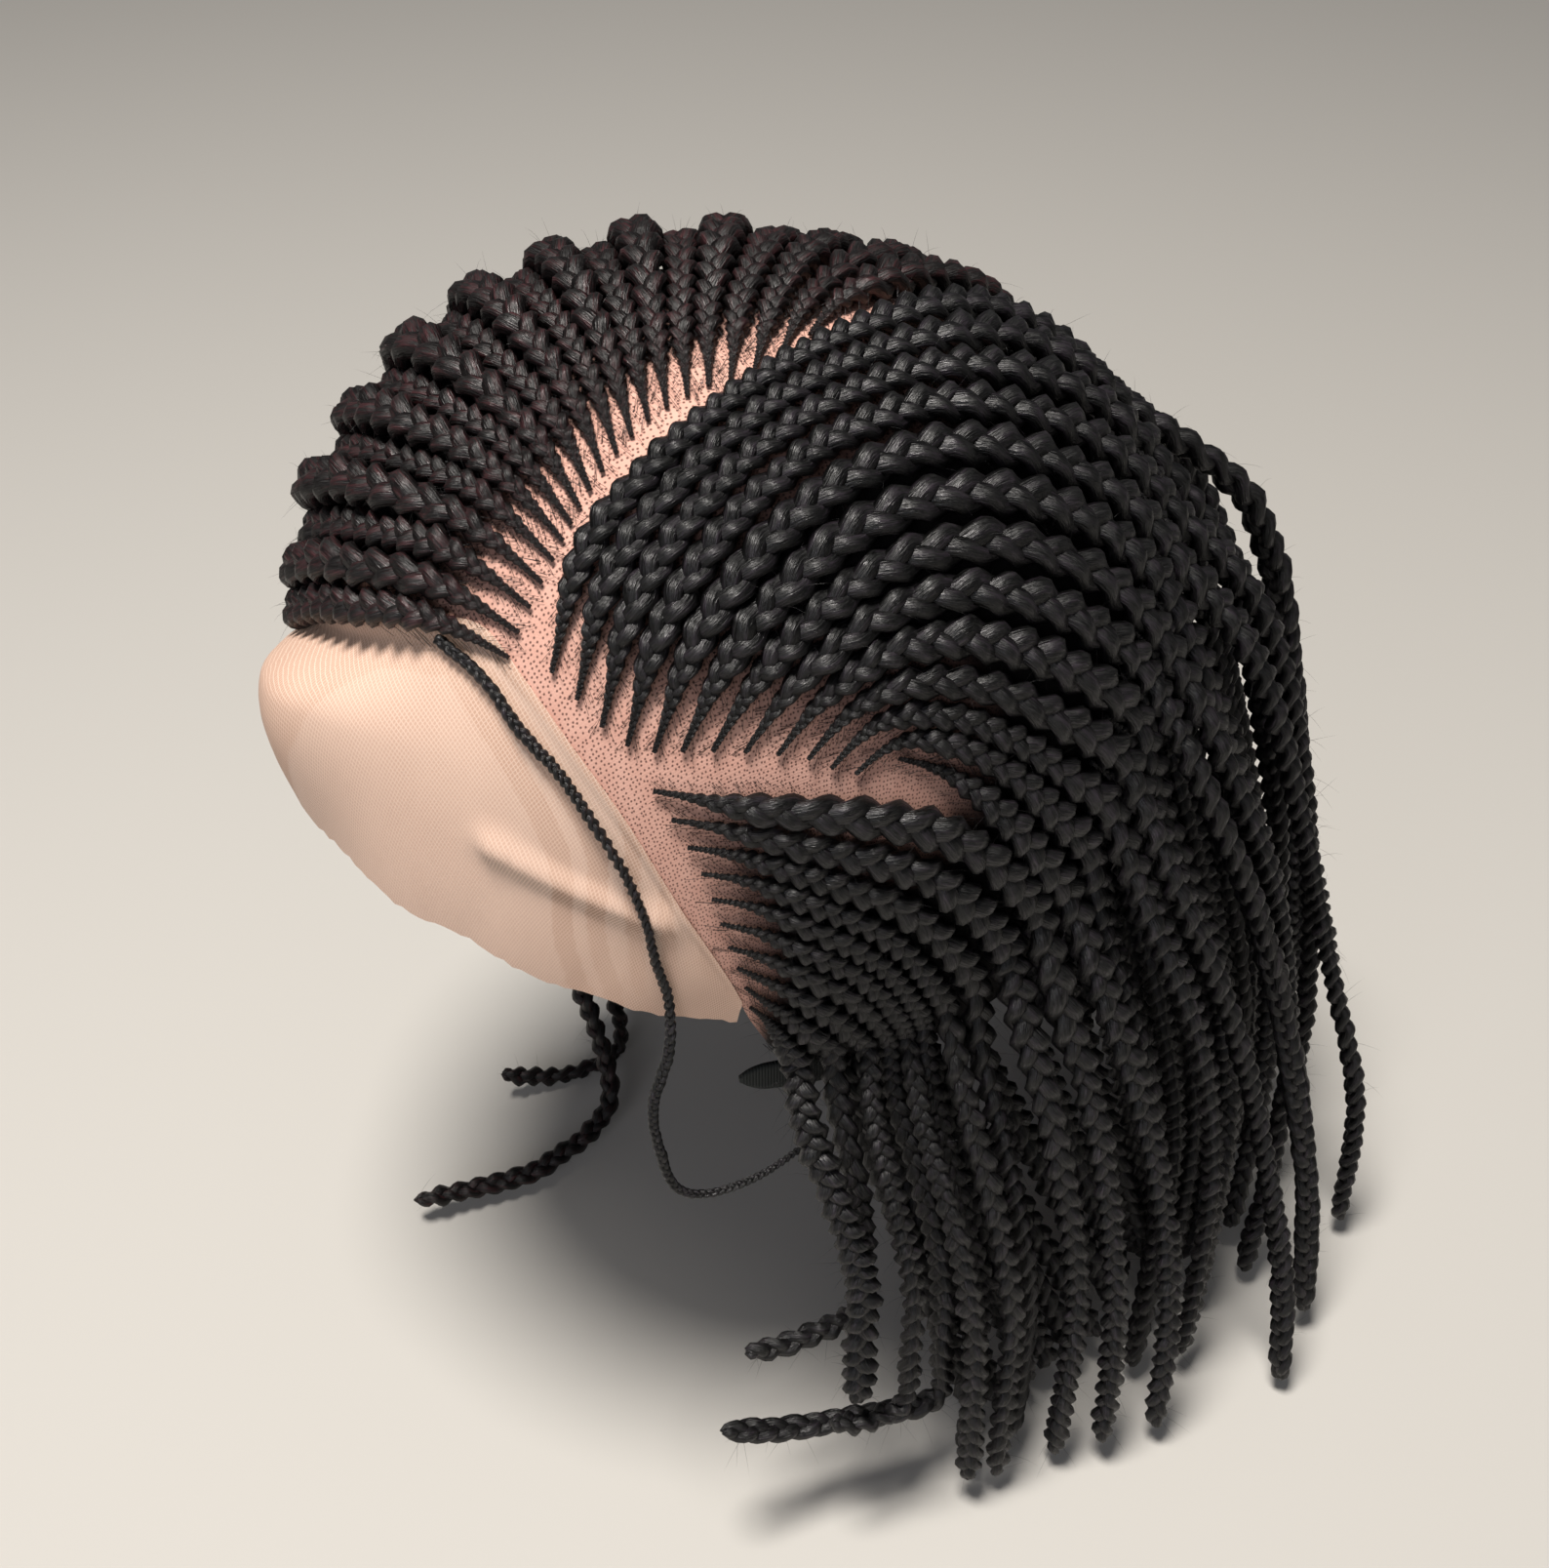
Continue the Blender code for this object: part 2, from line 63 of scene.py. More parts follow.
def toLinear(hexColour):
    channels = [int(hexColour[i:i + 2], 16) / 255 for i in (1, 3, 5)]
    return [c / 12.92 if c <= 0.04045 else ((c + 0.055) / 1.055) ** 2.4 for c in channels]


# Adds a node: settings are sockets or properties, links are sockets to wire in, by name or number
def addNode(tree, kind, settings=None, links=None):
    node = tree.nodes.new(kind)
    for name, value in (settings or {}).items():
        if isinstance(name, int) or name in node.inputs:
            node.inputs[name].default_value = value
        else:
            setattr(node, name, value)
    for name, source in (links or {}).items():
        tree.links.new(source, node.inputs[name])
    return node


def newMaterial(name):
    material = bpy.data.materials.new(name)
    material.use_nodes = True
    tree = material.node_tree
    tree.nodes.clear()
    return material, tree


def finishMaterial(tree, shader):
    addNode(tree, "ShaderNodeOutputMaterial", links={"Surface": shader.outputs[0]})


def paintedFloor():
    # Matt painted board: no gloss, so it only shows the soft shadow
    material, tree = newMaterial("mattPaintedBoard")
    colour = toLinear(floorSetup["colour"]) + [1]
    shader = addNode(tree, "ShaderNodeBsdfPrincipled", {"Base Color": colour, "Roughness": 0.9})
    finishMaterial(tree, shader)
    return material


def lookDirection(azimuth, elevation):
    a, e = radians(azimuth), radians(elevation)
    return Vector((sin(a) * cos(e), -cos(a) * cos(e), sin(e)))


def makeStudio():
    camera = bpy.data.objects.new("photoCamera", bpy.data.cameras.new("photoCamera"))
    back = lookDirection(cameraSetup["azimuth"], cameraSetup["elevation"])
    camera.location = cameraSetup["place"]
    camera.rotation_mode = "QUATERNION"
    camera.rotation_quaternion = (-back).to_track_quat("-Z", "Y")
    camera.data.lens = cameraSetup["lens"]
    camera.data.clip_start = 0.01
    bpy.context.scene.collection.objects.link(camera)
    bpy.context.scene.camera = camera

    half = floorSetup["size"] / 2
    mesh = bpy.data.meshes.new("studioFloor")
    square = ((-half, -half), (half, -half), (half, half), (-half, half))
    corners = [(x, y, floorSetup["height"]) for x, y in square]
    mesh.from_pydata(corners, [], [(0, 1, 2, 3)])
    mesh.materials.append(paintedFloor())
    ground = bpy.data.objects.new("studioFloor", mesh)
    bpy.context.scene.collection.objects.link(ground)

    world = bpy.data.worlds.new("softSky")
    world.use_nodes = True
    sky = world.node_tree.nodes["Background"]
    sky.inputs["Color"].default_value = toLinear(lightSetup["skyColour"]) + [1]
    sky.inputs["Strength"].default_value = lightSetup["skyStrength"]
    bpy.context.scene.world = world

    for name in ("key", "fill"):
        lamp = bpy.data.lights.new(name + "Light", "AREA")
        lamp.shape = "DISK"
        lamp.size = lightSetup[name + "Size"]
        lamp.energy = lightSetup[name + "Power"]
        lamp.color = toLinear(lightSetup[name + "Colour"])
        light = bpy.data.objects.new(name + "Light", lamp)
        light.location = lightSetup[name + "Place"]
        aim = Vector((0, 0, -0.1)) - light.location
        light.rotation_mode = "QUATERNION"
        light.rotation_quaternion = aim.to_track_quat("-Z", "Y")
        bpy.context.scene.collection.objects.link(light)


makeStudio()
bpy.context.scene.view_settings.view_transform = "Standard"
print("studio ready")


# Head, cap edge and curtain, as the solids have them

head = {"halfWidth": 0.079, "halfDepth": 0.098, "halfHeight": 0.095, "squareness": 2.3, "tilt": radians(10)}
tilt = Matrix.Rotation(-head["tilt"], 3, "X")
crown = tilt @ Vector((0, 0, head["halfHeight"]))

capEdge = (
    (-180, 136), (-140, 134), (-100, 130), (-75, 123), (-58, 111), (-40, 98), (-20, 85), (-2, 76),
    (12, 69), (25, 63), (34, 66), (44, 73), (51, 80), (58, 90), (67, 104), (73, 115), (80, 124),
    (100, 130), (140, 134), (180, 136),
)
curtain = {
    "drop": 0.292, "halfWidth": 0.098, "halfDepth": 0.128, "setback": 0.0085,
    "levels": (
        (0.00, 0.60, 0.30), (0.14, 0.80, 0.55), (0.19, 0.86, 0.68), (0.27, 0.93, 0.80), (0.42, 0.96, 0.92),
        (0.58, 0.98, 1.02), (0.77, 1.01, 1.07), (0.90, 1.03, 1.08), (1.00, 1.03, 1.05),
    ),
}


# Value at x of a smooth curve through rows of numbers, which stand at the rising keys
def smooth(keys, rows, x):
    last = len(keys) - 1
    i = 0
    while i < last - 1 and x > keys[i + 1]:
        i += 1

    def slope(j):
        a, b = max(j - 1, 0), min(j + 1, last)
        return [(q - p) / (keys[b] - keys[a]) for p, q in zip(rows[a], rows[b])]

    span = keys[i + 1] - keys[i]
    t = min(max((x - keys[i]) / span, 0), 1)
    start, end = 2 * t**3 - 3 * t**2 + 1, 3 * t**2 - 2 * t**3
    leave, arrive = (t**3 - 2 * t**2 + t) * span, (t**3 - t**2) * span
    columns = zip(rows[i], rows[i + 1], slope(i), slope(i + 1))
    return [start * p + end * q + leave * m + arrive * n for p, q, m, n in columns]


# The same for many places at once
def smoothMany(keys, rows, places):
    keys, rows, places = np.asarray(keys, float), np.asarray(rows, float), np.asarray(places, float)
    last = len(keys) - 1
    before = np.maximum(np.arange(last + 1) - 1, 0)
    after = np.minimum(np.arange(last + 1) + 1, last)
    slopes = (rows[after] - rows[before]) / (keys[after] - keys[before])[:, None]
    i = np.clip(np.searchsorted(keys, places, side="left") - 1, 0, last - 1)
    span = (keys[i + 1] - keys[i])[:, None]
    t = np.clip((places - keys[i])[:, None] / span, 0, 1)
    start, end = 2 * t**3 - 3 * t**2 + 1, 3 * t**2 - 2 * t**3
    leave, arrive = (t**3 - 2 * t**2 + t) * span, (t**3 - t**2) * span
    return start * rows[i] + end * rows[i + 1] + leave * slopes[i] + arrive * slopes[i + 1]


def readTable(table, x):
    return smooth([row[0] for row in table], [row[1:] for row in table], x)[0]


def runningLength(points):
    lengths = [0.0]
    for a, b in zip(points, points[1:]):
        lengths.append(lengths[-1] + (Vector(b) - Vector(a)).length)
    return lengths


# Point at a height over the head, some degrees from the crown to the left and to the back
def overHead(left, back, height):
    down = hypot(left, back)
    flat = sin(radians(down)) / max(down, 1e-6)
    way = Vector((left * flat, back * flat, cos(radians(down))))
    axes = (head["halfWidth"] + height, head["halfDepth"] + height, head["halfHeight"] + height)
    total = sum(abs(part / axis) ** head["squareness"] for part, axis in zip(way, axes))
    return tilt @ (way * total ** (-1 / head["squareness"])) - crown


def overHeadAt(angle, down, height):
    return overHead(down * sin(radians(angle)), -down * cos(radians(angle)), height)


def clearOfHead(point, height):
    fromCentre = tilt.transposed() @ (point + crown)
    axes = (head["halfWidth"] + height, head["halfDepth"] + height, head["halfHeight"] + height)
    total = sum(abs(part / axis) ** head["squareness"] for part, axis in zip(fromCentre, axes))
    if total >= 1:
        return point
    return tilt @ (fromCentre * total ** (-1 / head["squareness"])) - crown


def curtainSize(z):
    share = min(max(-z / curtain["drop"], 0), 1)
    levels = curtain["levels"]
    width, depth = smooth([level[0] for level in levels], [level[1:] for level in levels], share)
    return width * curtain["halfWidth"], depth * curtain["halfDepth"]


def curtainPoint(angle, z, outward=0.0, scale=1.0):
    width, depth = curtainSize(z)
    x = (width * scale + outward) * sin(radians(angle))
    y = curtain["setback"] - (depth * scale + outward) * cos(radians(angle))
    return Vector((x, y, z))


# Hair

# Synthetic braiding hair, drawn modacrylic fibre: nearly black, and its sheen lies in broken grey streaks
# along the fibres, partly gloss and partly painted highlight in the base colour. Real fibres are 0.08 mm,
# drawn 0.24 mm so that they show.
hairLooks = {
    "black": {"deep": "#020202", "lit": "#322c33", "roughness": (0.26, 0.60)},
    "brown": {"deep": "#050202", "lit": "#452629", "roughness": (0.28, 0.62)},
    "fibreWidth": 0.24, "fibreRun": 3.2, "clumpWidth": 1.1, "clumpRun": 6.25,      # millimetres
    "bumpDepth": 0.30 * mm, "specular": 0.42, "ior": 1.52, "anisotropy": 0.45,
}


def modacrylicHair(name, look):
    material, tree = newMaterial(name)
    uv = addNode(tree, "ShaderNodeUVMap", {"uv_map": "fibres"})      # millimetres along and round a strand
    stretch = (1 / hairLooks["fibreRun"], 1 / hairLooks["fibreWidth"], 1)
    fibres = addNode(tree, "ShaderNodeMapping", {"Scale": stretch}, {"Vector": uv.outputs[0]})
    streaks = addNode(tree, "ShaderNodeTexNoise", {"Scale": 1.0, "Detail": 2.5, "Roughness": 0.65},
                      {"Vector": fibres.outputs[0]})
    stretch = (1 / hairLooks["clumpRun"], 1 / hairLooks["clumpWidth"], 1)
    broad = addNode(tree, "ShaderNodeMapping", {"Scale": stretch}, {"Vector": uv.outputs[0]})
    clumps = addNode(tree, "ShaderNodeTexNoise", {"Scale": 1.0, "Detail": 2.0}, {"Vector": broad.outputs[0]})
    both = {0: streaks.outputs[0], 1: clumps.outputs[0]}
    height = addNode(tree, "ShaderNodeMath", {"operation": "ADD"}, both)
    glintNoise = addNode(tree, "ShaderNodeMath", {"operation": "MULTIPLY"}, both)
    # Painted highlight: where the streaks and clumps peak, the base colour turns from the deep black to the
    # lit grey, painted glints along the fibres
    glints = addNode(tree, "ShaderNodeMapRange", {"From Min": 0.24, "From Max": 0.50},
                     {"Value": glintNoise.outputs[0]})
    ends = {6: toLinear(look["deep"]) + [1], 7: toLinear(look["lit"]) + [1]}
    colour = addNode(tree, "ShaderNodeMix", {"data_type": "RGBA", **ends}, {"Factor": glints.outputs[0]})
    glossy, dull = look["roughness"]
    gloss = addNode(tree, "ShaderNodeMapRange",
                    {"From Min": 0.3, "From Max": 0.7, "To Min": dull, "To Max": glossy},
                    {"Value": streaks.outputs[0]})
    bump = addNode(tree, "ShaderNodeBump", {"Strength": 1.0, "Distance": hairLooks["bumpDepth"]},
                   {"Height": height.outputs[0]})
    lay = addNode(tree, "ShaderNodeTangent", {"direction_type": "UV_MAP", "uv_map": "fibres"})
    shader = addNode(tree, "ShaderNodeBsdfPrincipled",
                     {"Specular IOR Level": hairLooks["specular"], "IOR": hairLooks["ior"],
                      "Anisotropic": hairLooks["anisotropy"]},
                     {"Base Color": colour.outputs[2], "Roughness": gloss.outputs[0],
                      "Normal": bump.outputs[0], "Tangent": lay.outputs[0]})
    finishMaterial(tree, shader)
    return material


blackHair = modacrylicHair("modacrylicHairBlack", hairLooks["black"])
brownHair = modacrylicHair("modacrylicHairBrownBlack", hairLooks["brown"])


def hairOf(name):
    if name == "crown_braid":
        return brownHair, "brown_black_braiding_hair"
    return blackHair, "black_braiding_hair"


# Closed tubes from an array (tubes, rings, sides, 3), with UVs in millimetres
def tubesToMesh(name, tubes, along, girth, material):
    count, rings, sides, _ = tubes.shape
    ring = (np.arange(rings - 1) * sides)[:, None]
    side = np.arange(sides)[None, :]
    after = (side + 1) % sides
    quads = np.stack([ring + side, ring + after, ring + sides + after, ring + sides + side], axis=-1)
    quads = quads.reshape(-1, 4)
    offsets = np.arange(count) * rings * sides
    allQuads = (quads[None] + offsets[:, None, None]).reshape(-1, 4)
    firstCaps = offsets[:, None] + np.arange(sides)[::-1][None]
    lastCaps = offsets[:, None] + (rings - 1) * sides + np.arange(sides)[None]
    corners = np.concatenate([allQuads.ravel(), firstCaps.ravel(), lastCaps.ravel()])
    sizes = np.concatenate([np.full(len(allQuads), 4), np.full(2 * count, sides)])
    starts = np.concatenate([[0], np.cumsum(sizes)[:-1]])

    mesh = bpy.data.meshes.new(name)
    mesh.vertices.add(count * rings * sides)
    mesh.vertices.foreach_set("co", tubes.astype(np.float32).ravel())
    mesh.loops.add(len(corners))
    mesh.loops.foreach_set("vertex_index", corners.astype(np.int32))
    mesh.polygons.add(len(sizes))
    mesh.polygons.foreach_set("loop_start", starts.astype(np.int32))
    mesh.polygons.foreach_set("use_smooth", np.ones(len(sizes), dtype=bool))

    local = corners % (rings * sides)
    tubeOf = corners // (rings * sides)
    ringOf, sideOf = local // sides, local % sides
    wrapped = sideOf.astype(float)
    quadCorners = len(allQuads) * 4
    isNext = np.tile(np.array([False, True, True, False]), len(allQuads))
    body = wrapped[:quadCorners]
    body[isNext & (sideOf[:quadCorners] == 0)] = sides
    uv = np.empty((len(corners), 2), dtype=np.float32)
    uv[:, 0] = along[tubeOf, ringOf] / mm
    uv[:, 1] = wrapped / sides * girth / mm + tubeOf * 37.7
    layer = mesh.uv_layers.new(name="fibres")
    layer.data.foreach_set("uv", uv.ravel())
    mesh.materials.append(material)
    mesh.update()
    mesh.validate()
    piece = bpy.data.objects.new(name, mesh)
    bpy.context.scene.collection.objects.link(piece)
    return piece


# A sheet of points with its faces, its place on the flat in millimetres, and a value at each point
def clothPiece(name, points, faces, flat, material, values=None):
    mesh = bpy.data.meshes.new(name)
    mesh.from_pydata(points, [], faces)
    for title, numbers in (values or {}).items():
        attribute = mesh.attributes.new(title, "FLOAT", "POINT")
        attribute.data.foreach_set("value", numbers)
    layer = mesh.uv_layers.new(name="laceMap")
    for loop in mesh.loops:
        layer.data[loop.index].uv = flat[loop.vertex_index]
    mesh.polygons.foreach_set("use_smooth", [True] * len(mesh.polygons))
    mesh.materials.append(material)
    piece = bpy.data.objects.new(name, mesh)
    bpy.context.scene.collection.objects.link(piece)
    return piece


def gridFaces(columns, rows):
    corners = (j * (columns + 1) + i for j in range(rows) for i in range(columns))
    return [(a, a + columns + 1, a + columns + 2, a + 1) for a in corners]


def thicken(piece, name, thickness):
    shell = piece.modifiers.new(name, "SOLIDIFY")
    shell.thickness = thickness
    shell.offset = 1


def wearPiece(piece, node=None):
    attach(piece, "root")
    if node:
        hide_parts(node)


def unit(vectors):
    return vectors / np.maximum(np.linalg.norm(vectors, axis=-1, keepdims=True), 1e-12)


# Directions along, out of the head, and across, at each point of a line. Below the head's middle
# they spread from a line that drifts back as it goes down, to the middle of the curtain.
heartLine = {"drift": 0.25, "mostDrift": 0.025}


def lineFrames(centres):
    tangents = unit(np.gradient(centres, axis=0))
    middle = -np.array(crown)
    heart = np.tile(middle, (len(centres), 1))
    heart[:, 2] = np.minimum(centres[:, 2], middle[2])
    heart[:, 1] += np.clip((middle[2] - centres[:, 2]) * heartLine["drift"], 0, heartLine["mostDrift"])
    out = centres - heart
    out = unit(out - tangents * np.sum(out * tangents, axis=1, keepdims=True))
    across = np.cross(out, tangents)
    return tangents, out, across


# Three-strand plait: each strand swings from side to side and passes over at the middle.
# One strand comes over every third of the lay, which is 0.8 of the braid's width.
plait = {
    "lay": 2.4, "frontLay": 1.75, "swing": 0.215, "rise": 0.150,                # shares of the width
    "strandWide": 0.285, "strandThick": 0.235, "lean": 0.16,
    "endTaper": 7 * mm, "endSwing": 0.45, "endWide": 0.72, "endThick": 0.85, "tipLength": 1.6 * mm,
    "sides": 8, "ringsPerLay": 12, "irregular": 0.11, "paceKeys": 12, "wobbleKeys": 30,
}


def plaitStrands(centres, widths, twist, phase, ringSides, seed, **changes):
    look = {**plait, **changes}
    rng = np.random.default_rng(seed)
    steps = np.linalg.norm(np.diff(centres, axis=0), axis=1)
    along = np.concatenate([[0], np.cumsum(steps)])
    keys = np.linspace(0, along[-1], look["paceKeys"])
    slowNoise = np.interp(along, keys, rng.normal(0, 1, look["paceKeys"]))
    pace = (1 + look["irregular"] * slowNoise) / (widths * look["lay"])
    turns = np.concatenate([[0], np.cumsum(steps * (pace[1:] + pace[:-1]) / 2)])
    # Rings at equal shares of the lay, so that thin starts are as finely drawn as thick braids
    ringTurns = np.linspace(0, turns[-1], int(turns[-1] * look["ringsPerLay"]) + 2)
    table = np.column_stack([centres, widths, twist, along])
    table = np.column_stack([np.interp(ringTurns, turns, column) for column in table.T])
    centres, widths, twist, along, turns = table[:, :3], table[:, 3], table[:, 4], table[:, 5], ringTurns
    tangents, out, across = lineFrames(centres)
    c, s = np.cos(twist)[:, None], np.sin(twist)[:, None]
    out, across = out * c + across * s, across * c - out * s
    fromEnd = along[-1] - along
    closing = np.clip(fromEnd / look["endTaper"], 0, 1)
    closing = closing * closing * (3 - 2 * closing)
    endSwing, endWide, endThick = look["endSwing"], look["endWide"], look["endThick"]
    gather = endSwing + (1 - endSwing) * closing
    tip = np.sqrt(np.clip(fromEnd / look["tipLength"], 0.02, 1))
    wobbleKeys = np.linspace(0, along[-1], look["wobbleKeys"])
    angles = np.linspace(0, 2 * pi, ringSides, endpoint=False)
    tubes = np.empty((3, len(centres), ringSides, 3))
    for k in range(3):
        turn = 2 * pi * (turns + k / 3) + phase
        wobble = 1 + look["irregular"] * np.interp(along, wobbleKeys, rng.normal(0, 1, look["wobbleKeys"]))
        sideways = look["swing"] * widths * np.sin(turn) * gather
        outward = look["rise"] * widths * np.sin(2 * turn) * gather
        wide = look["strandWide"] * widths * wobble * (endWide + (1 - endWide) * closing) * tip
        thick = look["strandThick"] * widths * wobble * (endThick + (1 - endThick) * closing) * tip
        middle = centres + across * sideways[:, None] + out * outward[:, None]
        lean = np.cos(turn) * look["lean"]       # the strand's flat side leans as it crosses
        for j, angle in enumerate(angles):
            u, v = cos(angle) * wide, sin(angle) * thick
            v = v + u * lean
            tubes[k, :, j] = middle + across * u[:, None] + out * v[:, None]
    return tubes, np.tile(along, (3, 1))


# Rows of braids, on the routes of the solids

rowNumbers = {
    "start": 0.0011, "cornrow": 0.0098, "loose": 0.0069, "front": 0.0090, "taper": 0.034,
    "wall": 0.0012, "lift": 0.0004, "laneOverlap": 0.0010, "step": 0.016,
    "layer": 0.0078, "ragged": 0.0025, "pattern": 2.4, "frontDrop": 0.83, "sag": 0.004, "routeStep": 0.006,
    "middle": 0.36, "raiseFrom": 0.018, "raiseOver": 0.030, "raiseLost": 0.7, "curlWidth": 0.94,
    "girth": 0.0072,             # round one strand
}
sections = {
    "crown_braid": {
        "rows": 20, "inner": (12, 15, 18),
        "guides": (
            (1, ((33, -54), (22, -60), (6, -70), (-22, -80), (-56, -76), (-86, -62)), 291),
            (5, ((27, -44), (14, -48), (-4, -55), (-27, -60), (-58, -56), (-88, -42)), 270),
            (9, ((22, -37), (12, -37), (-6, -39), (-28, -40), (-58, -36), (-88, -23)), 247),
            (13, ((17, -28), (7, -26), (-8, -23), (-28, -19), (-56, -11), (-84, 2)), 224),
            (16, ((15, -20), (4, -16), (-8, -10), (-24, -2), (-46, 10), (-70, 24)), 206),
            (18, ((14, -14), (4, -8), (-8, 1), (-20, 12), (-36, 26), (-51, 40)), 194),
            (20, ((9, -5), (3, 1), (-3, 11), (-8, 21), (-14, 33), (-20, 45)), 183),
        ),
    },
    "arc_braid": {
        "rows": 13, "inner": (3, 6, 9, 12),
        "guides": (
            (1, ((38, -50), (29, -40), (19, -19), (9, 4), (1, 24), (-3, 43)), 175),
            (4, ((51, -45), (40, -34), (29, -15), (23, 5), (23, 24), (25, 43)), 155),
            (7, ((57, -34), (50, -24), (43, -9), (40, 7), (41, 24), (44, 44)), 138),
            (10, ((63, -20), (58, -12), (56, -3), (57, 9), (60, 26), (61, 44)), 124),
            (12, ((67, -12), (63.5, -4), (65, 7), (69, 20), (73, 34), (74.5, 47)), 114.5),
            (13, ((66, -4), (68, 3), (71, 11), (75, 20), (80, 35), (82, 48)), 110),
        ),
    },
    "side_braid": {
        "rows": 10, "inner": (3, 5, 7, 9),
        "guides": (
            (1, ((58, -44), (65, -33), (71, -18), (77, 4), (83, 24), (88, 42)), 103.3),
            (4, ((73, -41), (80, -29), (89, -14), (97, 2), (105, 18), (110, 32)), 91.5),
            (7, ((88, -39), (94, -30), (101, -18), (109, -4), (116, 9), (121, 20)), 85),
            (9, ((98, -36), (103, -31), (108, -24), (113, -17), (117, -11), (120, -5)), 75.3),
            (10, ((103, -35), (107, -31), (111, -27), (114, -24), (117, -21), (120, -18)), 75),
        ),
    },
}
# Shares of the drop, of the turn to its hanging place, of the way out to the curtain, and of its layer
hanging = (
    (0.13, 0.25, 0.40, 0.8), (0.36, 0.70, 0.85, 1), (0.60, 1, 1, 1), (0.80, 1, 1, 1), (1, 1, 1, 1),
)
# Drop, bulge and spread of the braids that stand out of the curtain
strays = {
    ("arc_braid", 2): (0.28, 0.008, 0.13), ("arc_braid", 5): (0.98, 0.023, 0.28),
    ("arc_braid", 8): (1.05, 0.021, 0.30), ("arc_braid", 10): (1.05, 0.025, 0.30),
    ("arc_braid", 13): (1.05, 0.010, 0.30),
    ("side_braid", 1): (1.05, 0.006, 0.30), ("crown_braid", 19): (0.60, 0.006, 0.13),
}
# Shares of a curl's way forward, of its way to the right and of its sag, from the hang to the end
curlShape = ((0.0, 0.7, 0.0), (0.40, 1.0, 1.0), (0.75, 1.0, 0.8), (1.0, 1.0, 0.0))
# Drop, then how far the end goes forward, to the right and up, for the ends that curl
curls = {
    ("side_braid", 9): (0.76, 0.028, 0.004, -0.003),
    ("side_braid", 8): (0.85, 0.020, 0.002, 0.002),
    ("side_braid", 7): (0.90, 0.058, 0.004, 0.016),
    ("crown_braid", 1): (0.98, 0.066, -0.050, 0.000),
    ("crown_braid", 2): (1.00, 0.040, -0.016, 0.006),
}
# On the right some rows ride up over their neighbours: how far, and how much wider they are
raisedRows = {
    2: (0.0016, 1.10), 4: (0.0034, 1.22), 6: (0.0030, 1.20), 8: (0.0034, 1.25),
    10: (0.0032, 1.22), 12: (0.0030, 1.20), 14: (0.0026, 1.20), 16: (0.0020, 1.12),
}


def rowBetweenGuides(section, row):
    keys = [guide[0] for guide in section["guides"]]
    flat = [sum(guide[1], ()) + (guide[2],) for guide in section["guides"]]
    numbers = smooth(keys, flat, row)
    return list(zip(numbers[0:-1:2], numbers[1:-1:2])), numbers[-1]


def capLine(section, row):
    places, hangsAt = rowBetweenGuides(section, row)
    keys = runningLength([overHead(*place, rowNumbers["wall"]) for place in places])
    return places, keys, hangsAt


def laneLine(section, row):
    places, keys, _ = capLine(section, row)
    steps = 2 * round(keys[-1] / rowNumbers["step"])
    lengths = [keys[-1] * i / steps for i in range(steps + 1)]
    return [overHead(*smooth(keys, places, length), rowNumbers["wall"]) for length in lengths]


def distanceToLine(point, line):
    best = (point - line[0]).length
    for a, b in zip(line, line[1:]):
        share = (point - a).dot(b - a) / (b - a).length_squared
        best = min(best, (point - a.lerp(b, min(max(share, 0), 1))).length)
    return best


def capSteps(length):
    return max(8, round(length / rowNumbers["routeStep"]))


